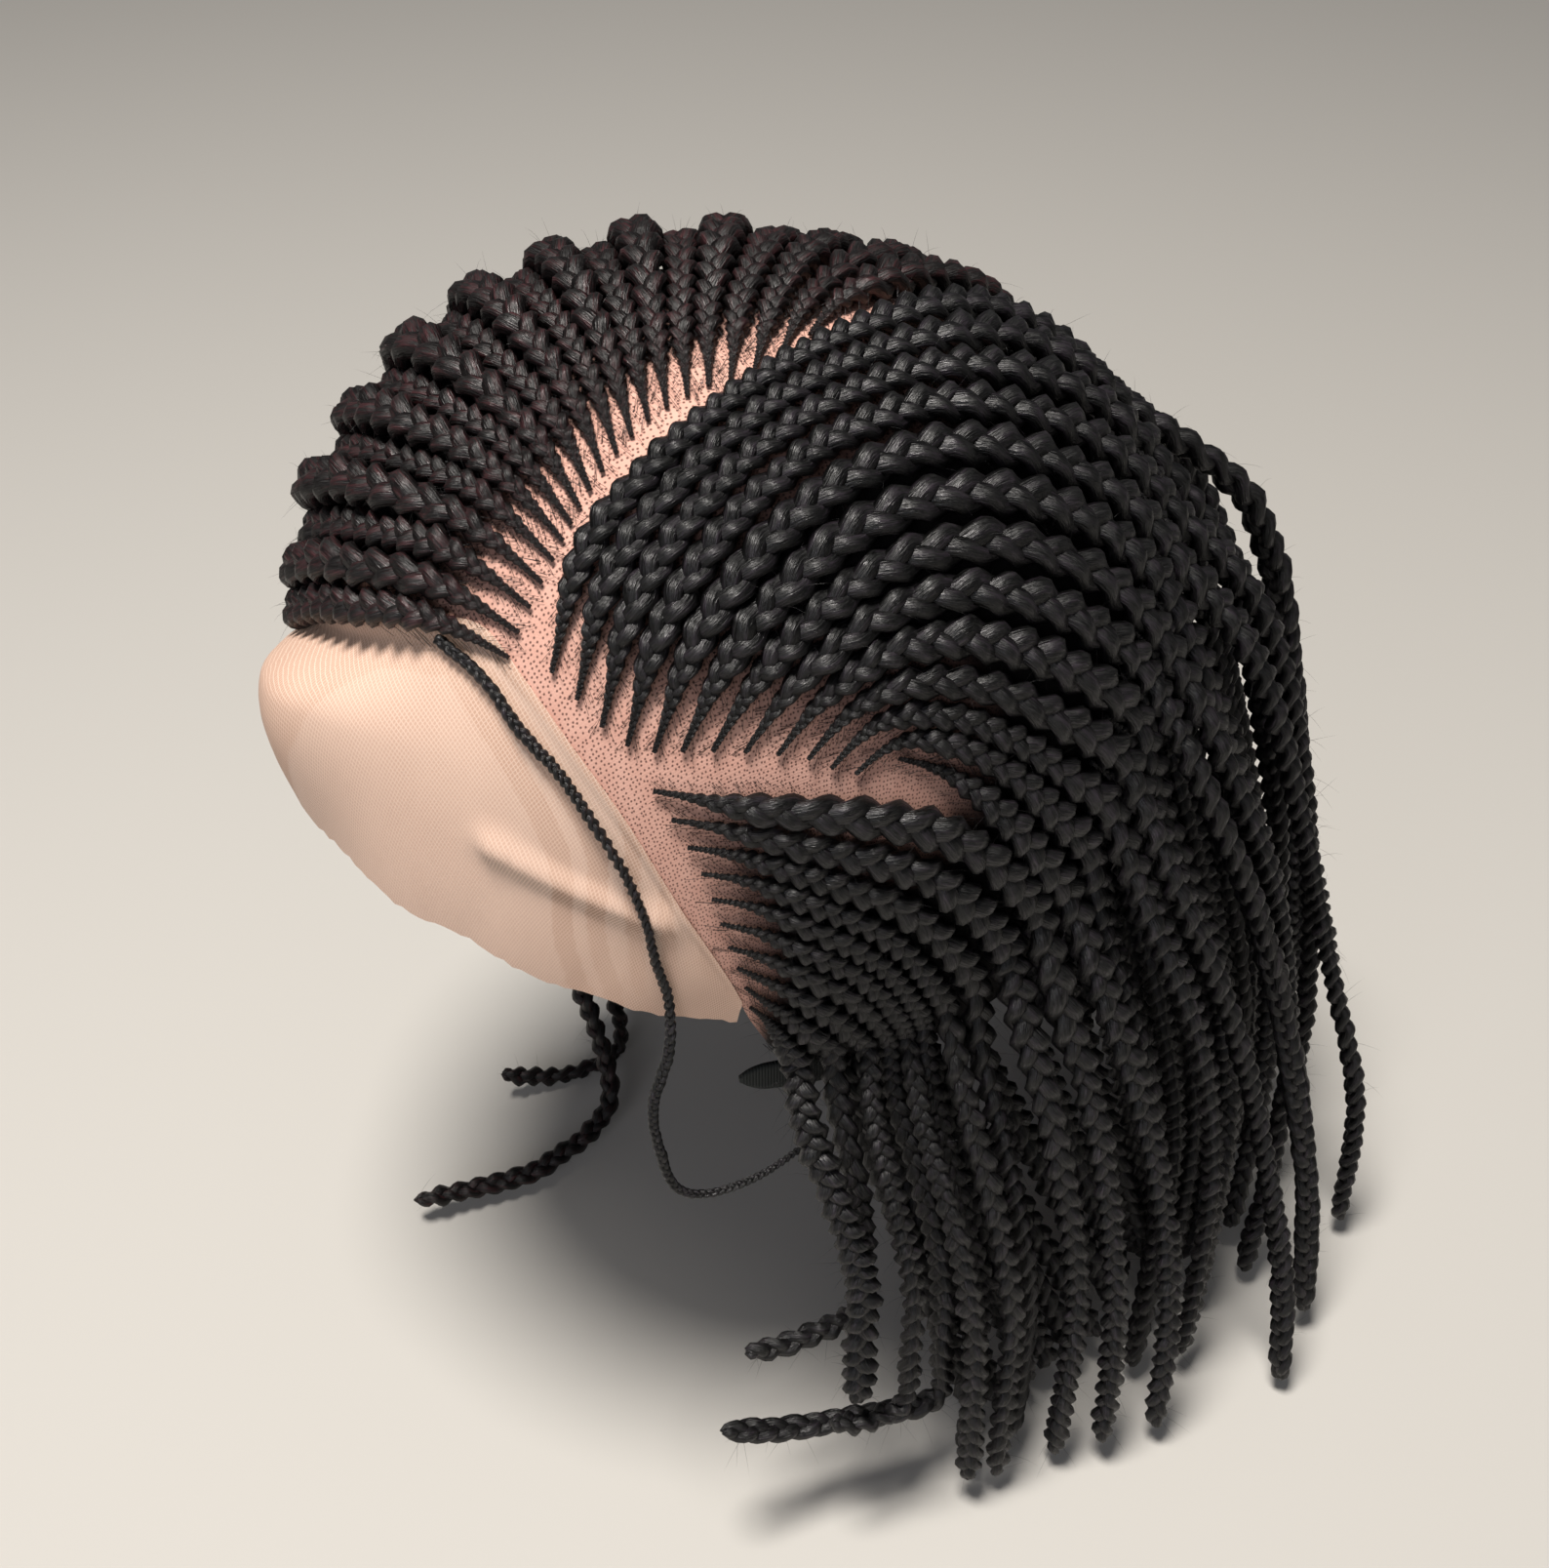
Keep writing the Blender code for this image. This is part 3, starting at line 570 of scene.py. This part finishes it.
def braidRoute(name, row, behind=0.0):
    section = sections[name]
    places, placeKeys, hangsAt = capLine(section, row)
    beside = [laneLine(section, other) for other in (row - 1, row + 1) if 1 <= other <= section["rows"]]
    front = name == "side_braid" and row == 10
    loose = rowNumbers["front"] if front else rowNumbers["loose"]
    layer = behind or (rowNumbers["layer"] if row in section["inner"] else 0)

    count = capSteps(placeKeys[-1])
    raised, wider = raisedRows.get(row, (0, 1)) if name == "crown_braid" else (0, 1)
    points, widths = [], []
    for i in range(count + 1):
        length = placeKeys[-1] * i / count
        left, back = smooth(placeKeys, places, length)
        lane = min(distanceToLine(overHead(left, back, rowNumbers["wall"]), line) for line in beside)
        grown = min(length / rowNumbers["taper"], 1)
        grown = grown * grown * (3 - 2 * grown)
        widest = rowNumbers["cornrow"] * loose / rowNumbers["loose"]
        width = rowNumbers["start"] + (widest - rowNumbers["start"]) * grown
        width = min(width, lane + rowNumbers["laneOverlap"])
        up = min(max((length - rowNumbers["raiseFrom"]) / rowNumbers["raiseOver"], 0), 1)
        up = up * up * (3 - 2 * up) * (1 - rowNumbers["raiseLost"] * (length / placeKeys[-1]) ** 3)
        width *= 1 + (wider - 1) * up
        height = rowNumbers["wall"] + rowNumbers["lift"] + width * rowNumbers["middle"] + raised * up
        points.append(overHead(left, back, height))
        widths.append(width)

    top = points[-1]
    width, depth = curtainSize(top.z)
    leavesAt = degrees(atan2(top.x / width, (curtain["setback"] - top.y) / depth)) % 360
    inset = curtain["halfWidth"] * (1 - hypot(top.x / width, (curtain["setback"] - top.y) / depth))
    bottom = -curtain["drop"] * (rowNumbers["frontDrop"] if front else 1)
    bottom += rowNumbers["ragged"] * (1 + sin(rowNumbers["pattern"] * row))
    curl = curls.get((name, row))
    if curl:
        bottom = -curtain["drop"] * curl[0]
    strayDrop, strayBulge, straySpread = strays.get((name, row), (0, 0, 1))
    lastWidth = widths[-1]
    for share, turned, settled, layered in hanging:
        z = top.z + (bottom - top.z) * share
        angle = leavesAt + (hangsAt - leavesAt) * turned
        spread = (-z / curtain["drop"] - strayDrop) / straySpread
        outward = strayBulge * exp(-spread * spread) - layer * layered - inset * (1 - settled)
        least = rowNumbers["wall"] + rowNumbers["lift"] + loose / 2
        points.append(clearOfHead(curtainPoint(angle, z, outward), least))
        widths.append(lastWidth + (loose - lastWidth) * turned)
    if curl:
        turn = points.pop()
        widths.pop()
        for forward, inward, sagged in curlShape:
            rise = curl[3] * forward - rowNumbers["sag"] * sagged
            points.append(turn + Vector((-curl[2] * inward, -curl[1] * forward, rise)))
            widths.append(loose * rowNumbers["curlWidth"])
    return points, widths, placeKeys[-1]


# The hanging part turns about its own line and sways a little, more as it leaves the cap
looseSway = {
    "growsOver": 0.18, "twist": 2.6, "ripple": 0.25, "rippleLength": 0.021,
    "sway": 0.0007, "swayLength": 0.017,
}


def makeBraid(node, points, widths, capLength, material, seed):
    rng = random.Random(seed)
    keys = runningLength(points)
    places = np.linspace(0, keys[-1], int(keys[-1] / mm) + 2)
    rows = smoothMany(keys, [(*point, width) for point, width in zip(points, widths)], places)
    centres, width = rows[:, :3], rows[:, 3]
    free = np.clip((places - capLength) / looseSway["growsOver"], 0, 1)
    twist = free * rng.uniform(-looseSway["twist"], looseSway["twist"])
    twist += looseSway["ripple"] * np.sin(places / looseSway["rippleLength"] + rng.uniform(0, 6)) * free
    sway = looseSway["sway"] * np.sin(places / looseSway["swayLength"] + rng.uniform(0, 6)) * free
    _, _, across = lineFrames(centres)
    centres = centres + across * sway[:, None]
    lay = plait["frontLay"] if node == "side_braid_10" else plait["lay"]
    tubes, along = plaitStrands(centres, width, twist, rng.uniform(0, 6.28), plait["sides"], seed, lay=lay)
    piece = tubesToMesh(node + "_plait", tubes, along, rowNumbers["girth"], material)
    wearPiece(piece, node)
    return centres, width, piece


braidLines = []
triangles = 0
for name, section in sections.items():
    material, slotName = hairOf(name)
    for row in range(1, section["rows"] + 1):
        node = f"{name}_{row:02d}"
        points, widths, capLength = braidRoute(name, row)
        seed = sum(map(ord, name)) * 100 + row
        centres, width, piece = makeBraid(node, points, widths, capLength, material, seed)
        braidLines.append((centres, width))
        triangles += len(piece.data.polygons) * 2
print("cornrows and loose braids ready:", len(braidLines), "pieces,", triangles, "triangles")


# Second layer: loose braids that hang between and behind the rows at the back

secondLayer = {
    "rows": (("arc_braid", 1, 10), ("crown_braid", 13, 19)), "behind": 0.0145, "startPoints": 3,
    "startHeight": 0.0022, "width": 0.0068, "growsOver": 0.02, "startShare": 0.2, "shorter": 0.012,
    "twist": 2, "seed": 900, "sides": 6, "ringsPerLay": 10,
}


def makeSecondLayer():
    total = 0
    for name, first, last in secondLayer["rows"]:
        material, slotName = hairOf(name)
        for row in range(first, last + 1):
            points, widths, capLength = braidRoute(name, row + 0.5, secondLayer["behind"])
            start = capSteps(capLength) + 1 - secondLayer["startPoints"]
            points = [clearOfHead(point, secondLayer["startHeight"]) for point in points[start:]]
            keys = runningLength(points)
            seed = secondLayer["seed"] + row
            rng = random.Random(seed)
            length = keys[-1] - rng.uniform(0, secondLayer["shorter"])
            places = np.linspace(0, length, int(keys[-1] / mm) + 2)
            centres = smoothMany(keys, [tuple(point) for point in points], places)
            grown = np.clip(places / secondLayer["growsOver"], secondLayer["startShare"], 1)
            twist = np.linspace(0, rng.uniform(-secondLayer["twist"], secondLayer["twist"]), len(places))
            tubes, along = plaitStrands(centres, secondLayer["width"] * grown, twist, rng.uniform(0, 6.28),
                                        secondLayer["sides"], seed, ringsPerLay=secondLayer["ringsPerLay"])
            title = f"second_layer_{name}_{row:02d}"
            piece = tubesToMesh(title, tubes, along, rowNumbers["girth"], material)
            wearPiece(piece)
            total += len(piece.data.polygons) * 2
    print("second layer ready:", total, "triangles")


makeSecondLayer()


# Under layer: loose braids side by side stand for each flat lock

nape = {
    "locks": 13, "firstAngle": 97, "lastAngle": 263, "gap": 0.0014, "lift": 0.0006, "thickness": 0.005,
    "endShare": 0.82, "perLock": 3, "width": 0.0086, "uneven": 0.06, "startShare": 0.8, "growsOver": 0.25,
    "endRagged": 0.004, "endSwing": 0.001, "halfLock": 5.8, "twist": 2, "points": 120,
    "girth": 0.0056, "seed": 5, "sides": 6, "ringsPerLay": 10,
    "start": (
        (97, 140), (111, 140), (125, 118), (139, 100), (152, 90), (166, 84), (180, 82), (194, 83),
        (208, 88), (221, 95), (235, 102), (249, 110), (263, 116),
    ),
}


def lockTop(angle, end):
    start, edge = readTable(nape["start"], angle), readTable(capEdge, (angle + 180) % 360 - 180)
    if start < edge:
        return overHeadAt(angle, start, rowNumbers["wall"] + nape["lift"] + nape["thickness"] / 2)
    top = overHeadAt(angle, edge, rowNumbers["wall"] / 2)
    return top + (end - top).normalized() * nape["gap"]


def makeNape():
    pitch = (nape["lastAngle"] - nape["firstAngle"]) / (nape["locks"] - 1)
    total = 0
    for lock in range(nape["locks"]):
        middle = nape["firstAngle"] + pitch * lock
        node = f"nape_lock_{lock + 1:02d}"
        strands, alongs = [], []
        for j in range(nape["perLock"]):
            angle = middle + pitch * ((j + 0.5) / nape["perLock"] - 0.5)
            rng = random.Random(lock * 10 + j)
            drop = -curtain["drop"] + 2 * rowNumbers["ragged"] + rng.uniform(-1, 1) * nape["endRagged"]
            end = curtainPoint(angle, drop, rng.uniform(-1, 1) * nape["endSwing"], nape["endShare"])
            top = lockTop(min(max(angle, middle - nape["halfLock"]), middle + nape["halfLock"]), end)
            share = np.linspace(0, 1, nape["points"])[:, None]
            centres = np.array(top)[None] * (1 - share) + np.array(end)[None] * share
            twist = np.linspace(0, rng.uniform(-nape["twist"], nape["twist"]), nape["points"])
            grown = np.clip(share[:, 0] / nape["growsOver"], 0, 1)
            widths = nape["width"] * rng.uniform(1 - nape["uneven"], 1 + nape["uneven"])
            widths = widths * (nape["startShare"] + (1 - nape["startShare"]) * grown)
            tubes, along = plaitStrands(centres, widths, twist, rng.uniform(0, 6.28), nape["sides"],
                                        nape["seed"], ringsPerLay=nape["ringsPerLay"])
            strands.append(tubes)
            alongs.append(along)
        rings = min(tubes.shape[1] for tubes in strands)
        strands = [tubes[:, :rings] for tubes in strands]
        alongs = [along[:, :rings] for along in alongs]
        strands, alongs = np.concatenate(strands), np.concatenate(alongs)
        piece = tubesToMesh(node + "_plaits", strands, alongs, nape["girth"], blackHair)
        wearPiece(piece, node)
        total += sum(len(polygon.vertices) - 2 for polygon in piece.data.polygons)
    print("nape locks ready:", total, "triangles")


makeNape()


# Thin braid at the hairline

babyBraid = {
    "onLace": (
        (24, -61), (33, -58), (41, -57), (49, -55), (57, -54), (66, -53), (75, -53), (83, -54), (91, -54),
    ),
    "hanging": (
        (0.077, -0.0655, -0.122), (0.078, -0.070, -0.137), (0.079, -0.069, -0.152), (0.080, -0.066, -0.163),
        (0.080, -0.059, -0.168), (0.079, -0.047, -0.169), (0.077, -0.036, -0.167), (0.075, -0.028, -0.164),
    ),
    "width": 0.0027, "height": 0.0028, "thinner": 0.35, "thinsFrom": 0.55, "twist": 5.0, "phase": 0.4,
    "endTaper": 9 * mm, "girth": 0.003, "sides": 6, "seed": 77,
}


def makeBabyBraid():
    points = [overHead(*place, babyBraid["height"]) for place in babyBraid["onLace"]]
    points += [Vector(point) for point in babyBraid["hanging"]]
    keys = runningLength(points)
    count = int(keys[-1] / mm)
    places = np.linspace(0, keys[-1], count)
    centres = smoothMany(keys, [tuple(point) for point in points], places)
    thinsFrom = babyBraid["thinsFrom"]
    toTip = 1 - babyBraid["thinner"] * np.clip((places / keys[-1] - thinsFrom) / (1 - thinsFrom), 0, 1)
    widths = babyBraid["width"] * toTip
    twist = np.linspace(0, babyBraid["twist"], count)
    tubes, along = plaitStrands(centres, widths, twist, babyBraid["phase"], babyBraid["sides"],
                                babyBraid["seed"], endTaper=babyBraid["endTaper"])
    piece = tubesToMesh("baby_hair_braid_plait", tubes, along, babyBraid["girth"], blackHair)
    wearPiece(piece, "baby_hair_braid")


makeBabyBraid()
print("hairline braid ready")


# Scalp lace of the cap

# Hand-knotted lace, heat set and dyed to a skin tone: matt, with a dark dot where each hair
# is knotted in. Knots are 1.15 mm apart. Away from the partings it is black stretch net, whose
# cells are drawn 0.7 mm apart as bumps all over.
mmPerDegree = 1.62           # over the head, on average
capLook = {
    "skin": "#dcb0a0", "skinShade": "#c79585", "knot": "#40241f", "net": "#0d090a",
    "roughness": 0.85, "specular": 0.3, "knotSpacing": 1.15, "knotSize": 0.30, "netSpacing": 0.7,
    "bumpDepth": 0.15 * mm, "columns": 180, "rings": 84, "wall": 0.7 * mm, "height": 0.0002,
}
partings = {
    "main": ((27, -66), (33, -57), (28, -47), (21, -38), (19, -28), (16, -18), (12, -8), (6, 2)),
    "side": ((38, -58), (48, -51), (56, -44), (61, -32), (66, -20), (69, -10), (70, -2)),
    "temple": ((38, -60), (52, -54), (66, -49), (80, -47), (92, -45), (100, -43)),
    "forehead": ((27, -62), (10, -70), (-8, -80), (-30, -88)),
    "reach": {"main": 12, "side": 13, "temple": 13, "forehead": 5},
}


def knottedLace():
    material, tree = newMaterial("knottedLace")
    uv = addNode(tree, "ShaderNodeUVMap", {"uv_map": "laceMap"})          # millimetres over the head
    cells = addNode(tree, "ShaderNodeTexVoronoi",
                    {"voronoi_dimensions": "2D", "Scale": 1 / capLook["knotSpacing"], "Randomness": 0.55},
                    {"Vector": uv.outputs[0]})
    dots = addNode(tree, "ShaderNodeMapRange",
                   {"From Min": capLook["knotSize"], "From Max": capLook["knotSize"] * 0.45,
                    "To Min": 0.0, "To Max": 0.85}, {"Value": cells.outputs["Distance"]})
    patches = addNode(tree, "ShaderNodeTexNoise", {"Scale": 0.16, "Detail": 3.0}, {"Vector": uv.outputs[0]})
    tones = {6: toLinear(capLook["skin"]) + [1], 7: toLinear(capLook["skinShade"]) + [1]}
    skin = addNode(tree, "ShaderNodeMix", {"data_type": "RGBA", **tones}, {"Factor": patches.outputs[0]})
    knotted = addNode(tree, "ShaderNodeMix", {"data_type": "RGBA", 7: toLinear(capLook["knot"]) + [1]},
                      {"Factor": dots.outputs[0], 6: skin.outputs[2]})
    zone = addNode(tree, "ShaderNodeAttribute", {"attribute_name": "scalpZone"})
    colour = addNode(tree, "ShaderNodeMix", {"data_type": "RGBA", 6: toLinear(capLook["net"]) + [1]},
                     {"Factor": zone.outputs["Fac"], 7: knotted.outputs[2]})
    net = addNode(tree, "ShaderNodeTexVoronoi",
                  {"voronoi_dimensions": "2D", "feature": "DISTANCE_TO_EDGE",
                   "Scale": 1 / capLook["netSpacing"], "Randomness": 0.15}, {"Vector": uv.outputs[0]})
    bump = addNode(tree, "ShaderNodeBump", {"Strength": 0.5, "Distance": capLook["bumpDepth"]},
                   {"Height": net.outputs[0]})
    shader = addNode(tree, "ShaderNodeBsdfPrincipled",
                     {"Roughness": capLook["roughness"], "Specular IOR Level": capLook["specular"]},
                     {"Base Color": colour.outputs[2], "Normal": bump.outputs[0]})
    finishMaterial(tree, shader)
    return material


def mapDistance(place, line):
    best = 1e9
    p = Vector(place)
    for a, b in zip(line, line[1:]):
        a, b = Vector(a), Vector(b)
        share = min(max((p - a).dot(b - a) / (b - a).length_squared, 0), 1)
        best = min(best, (p - a.lerp(b, share)).length)
    return best


def scalpZone(left, back):
    zone = 0.0
    for name, reach in partings["reach"].items():
        distance = mapDistance((left, back), partings[name])
        zone = max(zone, min(max(1.6 - distance / reach, 0), 1))
    return zone


def makeCap():
    columns, rings = capLook["columns"], capLook["rings"]
    points, faces, zones, flat = [overHead(0, 0, capLook["height"])], [], [1.0], [(0.0, 0.0)]
    for ring in range(1, rings + 1):
        for column in range(columns):
            angle = 360 * column / columns - 180
            down = readTable(capEdge, angle) * ring / rings
            left, back = down * sin(radians(angle)), -down * cos(radians(angle))
            points.append(overHead(left, back, capLook["height"]))
            zones.append(scalpZone(left, back))
            flat.append((left * mmPerDegree, back * mmPerDegree))
    for column in range(columns):
        after = (column + 1) % columns
        faces.append((0, 1 + column, 1 + after))
        for ring in range(rings - 1):
            a = 1 + ring * columns
            faces.append((a + column, a + columns + column, a + columns + after, a + after))
    cap = clothPiece("lace_cap_cloth", points, faces, flat, knottedLace(), {"scalpZone": zones})
    thicken(cap, "cloth", capLook["wall"])
    wearPiece(cap, "lace_cap")


makeCap()
print("cap ready")


# Sheer lace front

# Fine sheer lace, woven monofilament in a skin tone: a matt tan veil that lets some of what is
# behind it through. Real cells are 0.5 mm, drawn 0.9 mm so that they show.
laceLook = {
    "light": "#dcb8a2", "deep": "#c9a18b", "thread": "#e6c9b6", "foldShade": "#8f6b54",
    "roughness": 0.7, "specular": 0.3, "cover": 0.94, "cell": 0.9, "bumpDepth": 0.1 * mm,
    "first": -60, "last": 70, "overlap": 1.6,          # degrees round, and up over the cap's edge
    "gap": 0.0006, "height": 0.0006, "overCap": 0.0007, "rise": 0.014, "ripple": 0.0006,
    "fray": 0.25, "wave": 0.4, "columns": 110, "rows": 46, "seed": 5,
}
laceEdge = (
    (-60, 117), (-40, 107), (-20, 102), (0, 100), (15, 101), (30, 103), (45, 107), (60, 111), (70, 114),
)
flapRound = ((-60, 0), (-30, 0.3), (0, 1), (12, 0.6), (30, 0.05), (70, 0))
flapDown = ((0, 0), (0.12, 0.06), (0.42, 1), (1, 0.5))
# Dart: round and down in degrees, with a darker sliver below its ridge: painted shade under the fold, where
# the lace also lies doubled
fold = {"from": (35, 87), "to": (57, 93), "height": 0.0022, "spread": 2.2, "below": 1.5, "shade": 0.75}


def sheerLace():
    material, tree = newMaterial("sheerMonofilamentLace")
    uv = addNode(tree, "ShaderNodeUVMap", {"uv_map": "laceMap"})
    cells = addNode(tree, "ShaderNodeTexVoronoi",
                    {"voronoi_dimensions": "2D", "feature": "DISTANCE_TO_EDGE",
                     "Scale": 1 / laceLook["cell"], "Randomness": 0.12}, {"Vector": uv.outputs[0]})
    threads = addNode(tree, "ShaderNodeMapRange", {"From Min": 0.16, "From Max": 0.05},
                      {"Value": cells.outputs[0]})
    patches = addNode(tree, "ShaderNodeTexNoise", {"Scale": 0.05, "Detail": 2.0}, {"Vector": uv.outputs[0]})
    tones = {6: toLinear(laceLook["light"]) + [1], 7: toLinear(laceLook["deep"]) + [1]}
    tan = addNode(tree, "ShaderNodeMix", {"data_type": "RGBA", **tones}, {"Factor": patches.outputs[0]})
    # Painted shade: the lace colour darkens in a sliver below the dart's ridge
    foldShadeLayer = addNode(tree, "ShaderNodeAttribute", {"attribute_name": "foldShade"})
    foldShade = addNode(tree, "ShaderNodeMix", {"data_type": "RGBA", 7: toLinear(laceLook["foldShade"]) + [1]},
                      {"Factor": foldShadeLayer.outputs["Fac"], 6: tan.outputs[2]})
    colour = addNode(tree, "ShaderNodeMix", {"data_type": "RGBA", 7: toLinear(laceLook["thread"]) + [1]},
                     {"Factor": threads.outputs[0], 6: foldShade.outputs[2]})
    cover = addNode(tree, "ShaderNodeMapRange", {"To Min": laceLook["cover"] - 0.06, "To Max": 0.97},
                    {"Value": threads.outputs[0]})
    bump = addNode(tree, "ShaderNodeBump", {"Strength": 0.35, "Distance": laceLook["bumpDepth"]},
                   {"Height": threads.outputs[0]})
    shader = addNode(tree, "ShaderNodeBsdfPrincipled",
                     {"Roughness": laceLook["roughness"], "Specular IOR Level": laceLook["specular"]},
                     {"Base Color": colour.outputs[2], "Normal": bump.outputs[0], "Alpha": cover.outputs[0]})
    finishMaterial(tree, shader)
    return material


def makeLaceFront():
    columns, rows = laceLook["columns"], laceLook["rows"]
    first, last = laceLook["first"], laceLook["last"]
    gap = degrees(laceLook["gap"] / head["halfHeight"])
    rng = random.Random(laceLook["seed"])
    waver = [rng.uniform(-1, 1) for _ in range(columns + 1)]
    points, flat, foldShade = [], [], []
    for j in range(rows + 1):
        share = j / rows
        for i in range(columns + 1):
            angle = first + (last - first) * i / columns
            top = readTable(capEdge, angle) + gap - laceLook["overlap"]
            uneven = laceLook["fray"] * waver[i] + laceLook["wave"] * sin(angle * 0.35)
            edge = readTable(laceEdge, angle) + uneven
            down = top + (edge - top) * share
            rise = laceLook["rise"] * readTable(flapRound, angle) * readTable(flapDown, share)
            apart = mapDistance((angle, down), (fold["from"], fold["to"]))
            rise += fold["height"] * exp(-(apart / fold["spread"]) ** 2)
            rise += laceLook["ripple"] * share * sin(angle * 0.21 + 3 * share)
            onCap = min(max(1.6 - (down - top) / laceLook["overlap"], 0), 1)
            height = laceLook["height"] + max(rise, 0) + laceLook["overCap"] * onCap
            points.append(overHeadAt(angle, down, height))
            # Painted shade: how much the sliver just below the dart's ridge is darkened
            below = mapDistance((angle, down - fold["below"]), (fold["from"], fold["to"]))
            foldShade.append(fold["shade"] * min(max(1.7 - below / 1.1, 0), 1))
            left, back = down * sin(radians(angle)), -down * cos(radians(angle))
            flat.append((left * mmPerDegree, back * mmPerDegree))
    lace = clothPiece("lace_front_cloth", points, gridFaces(columns, rows), flat, sheerLace(),
                      {"foldShade": foldShade})
    wearPiece(lace, "lace_front")


makeLaceFront()
print("lace front ready")


# Elastic tab in front of the ear

# Woven rubber elastic: dull black-green, ribbed across its width every 0.8 mm
tab = {
    "root": 90, "length": 0.024, "width": 0.0076, "gap": 0.0006, "wall": 1.2 * mm, "tipCut": 0.03,
    "colour": "#141a19", "roughness": 0.75, "bumpDepth": 0.2 * mm, "columns": 24, "rows": 6,
}
tabShape = ((0.97, 0.12), (0.86, 0.62), (0.7, 0.95), (0.35, 1), (0, 1))


def wovenElastic():
    material, tree = newMaterial("wovenElastic")
    uv = addNode(tree, "ShaderNodeUVMap", {"uv_map": "laceMap"})
    ribs = addNode(tree, "ShaderNodeTexWave", {"Scale": 0.4, "Distortion": 0.3, "bands_direction": "X"},
                   {"Vector": uv.outputs[0]})
    bump = addNode(tree, "ShaderNodeBump", {"Strength": 0.6, "Distance": tab["bumpDepth"]},
                   {"Height": ribs.outputs[0]})
    shader = addNode(tree, "ShaderNodeBsdfPrincipled",
                     {"Base Color": toLinear(tab["colour"]) + [1], "Roughness": tab["roughness"]},
                     {"Normal": bump.outputs[0]})
    finishMaterial(tree, shader)
    return material


def makeTab():
    angleStep = degrees(tab["length"] / head["halfWidth"])
    down = readTable(capEdge, tab["root"]) + degrees(tab["gap"] / head["halfHeight"])
    keys = [1 - row[0] for row in tabShape]
    points, flat = [], []
    columns, rows = tab["columns"], tab["rows"]
    for j in range(rows + 1):
        side = 2 * j / rows - 1
        for i in range(columns + 1):
            place = 1 - (tab["tipCut"] + (1 - tab["tipCut"]) * i / columns)
            width = smooth(keys, [(row[1],) for row in tabShape], 1 - place)[0]
            angle = tab["root"] - angleStep * place
            drop = tab["width"] * (0.5 + 0.5 * side * width)
            points.append(overHeadAt(angle, down, 0) - Vector((0, 0, drop)))
            flat.append((place * tab["length"] / mm, side * tab["width"] / 2 / mm))
    piece = clothPiece("ear_tab_elastic", points, gridFaces(columns, rows), flat, wovenElastic())
    thicken(piece, "strap", tab["wall"])
    wearPiece(piece, "ear_tab")


makeTab()
print("tab ready")


# Loose hairs: short ones that lead from the lace into a row, and fly-aways

# Counts are for each braid. Real hairs are 0.08 mm thick, and the root hairs are drawn 0.11 mm.
looseHairs = {
    "rootCount": 46, "rootReach": 0.034, "rootWidth": 0.11 * mm, "flyCount": 90, "flyWidth": 0.07 * mm,
    "rootSide": (0.8 * mm, 2.4 * mm), "rootBack": (1 * mm, 4 * mm), "rootLift": (0.1 * mm, 0.5 * mm),
    "flyLength": (3 * mm, 9 * mm), "rings": 4, "rootSeed": 11, "flySeed": 12,
}


def hairTubes(name, lines, width, material):
    lines = np.asarray(lines)
    count, rings, _ = lines.shape
    tubes = np.empty((count, rings, 3, 3))
    tangents = unit(np.gradient(lines, axis=1))
    helper = np.cross(tangents, np.array([0.31, 0.52, 0.79]))
    a = unit(helper)
    b = np.cross(tangents, a)
    taper = width / 2 * (1 - 0.85 * np.linspace(0, 1, rings) ** 2)
    for j in range(3):
        angle = 2 * pi * j / 3
        tubes[:, :, j] = lines - (a * cos(angle) - b * sin(angle)) * taper[None, :, None]
    along = np.tile(np.linspace(0, 0.004, rings), (count, 1))
    piece = tubesToMesh(name, tubes, along, width * 3, material)
    wearPiece(piece)


def makeRootHairs():
    rng = np.random.default_rng(looseHairs["rootSeed"])
    lines = []
    for centres, widths in braidLines:
        tangents, out, across = lineFrames(centres)
        steps = np.concatenate([[0], np.cumsum(np.linalg.norm(np.diff(centres, axis=0), axis=1))])
        for _ in range(looseHairs["rootCount"]):
            place = looseHairs["rootReach"] * rng.random() ** 1.3
            i = int(np.searchsorted(steps, place))
            side = rng.choice((-1, 1))
            reach = rng.uniform(*looseHairs["rootSide"])
            base = centres[i] + across[i] * side * (widths[i] * 0.5 + reach)
            base = base - out[i] * (widths[i] * 0.38 + 0.3 * mm)
            base = base - tangents[i] * rng.uniform(*looseHairs["rootBack"])
            goal = centres[i] + (across[i] * side + out[i]) * widths[i] * 0.2 + tangents[i] * 1.5 * mm
            bend = (base + goal) / 2 + out[i] * rng.uniform(*looseHairs["rootLift"])
            t = np.linspace(0, 1, looseHairs["rings"])[:, None]
            lines.append((1 - t) ** 2 * base + 2 * t * (1 - t) * bend + t**2 * goal)
    hairTubes("root_hairs", lines, looseHairs["rootWidth"], blackHair)


def makeFlyAways():
    rng = np.random.default_rng(looseHairs["flySeed"])
    lines = []
    for centres, widths in braidLines:
        tangents, out, across = lineFrames(centres)
        for _ in range(looseHairs["flyCount"]):
            i = rng.integers(5, len(centres) - 2)
            around = rng.uniform(-1.9, 1.9)
            away = out[i] * cos(around) + across[i] * sin(around)
            base = centres[i] + away * widths[i] * 0.3
            length = rng.uniform(*looseHairs["flyLength"])
            way = away * rng.uniform(0.25, 0.9) + tangents[i] * rng.uniform(-1, 1)
            way = way / np.linalg.norm(way)
            droop = np.array([0, 0, -1]) * length * rng.uniform(0, 0.5)
            t = np.linspace(0, 1, looseHairs["rings"])[:, None]
            lines.append(base + way * length * t + droop * t**2)
    hairTubes("fly_away_hairs", lines, looseHairs["flyWidth"], blackHair)


makeRootHairs()
makeFlyAways()
print("loose hairs ready")
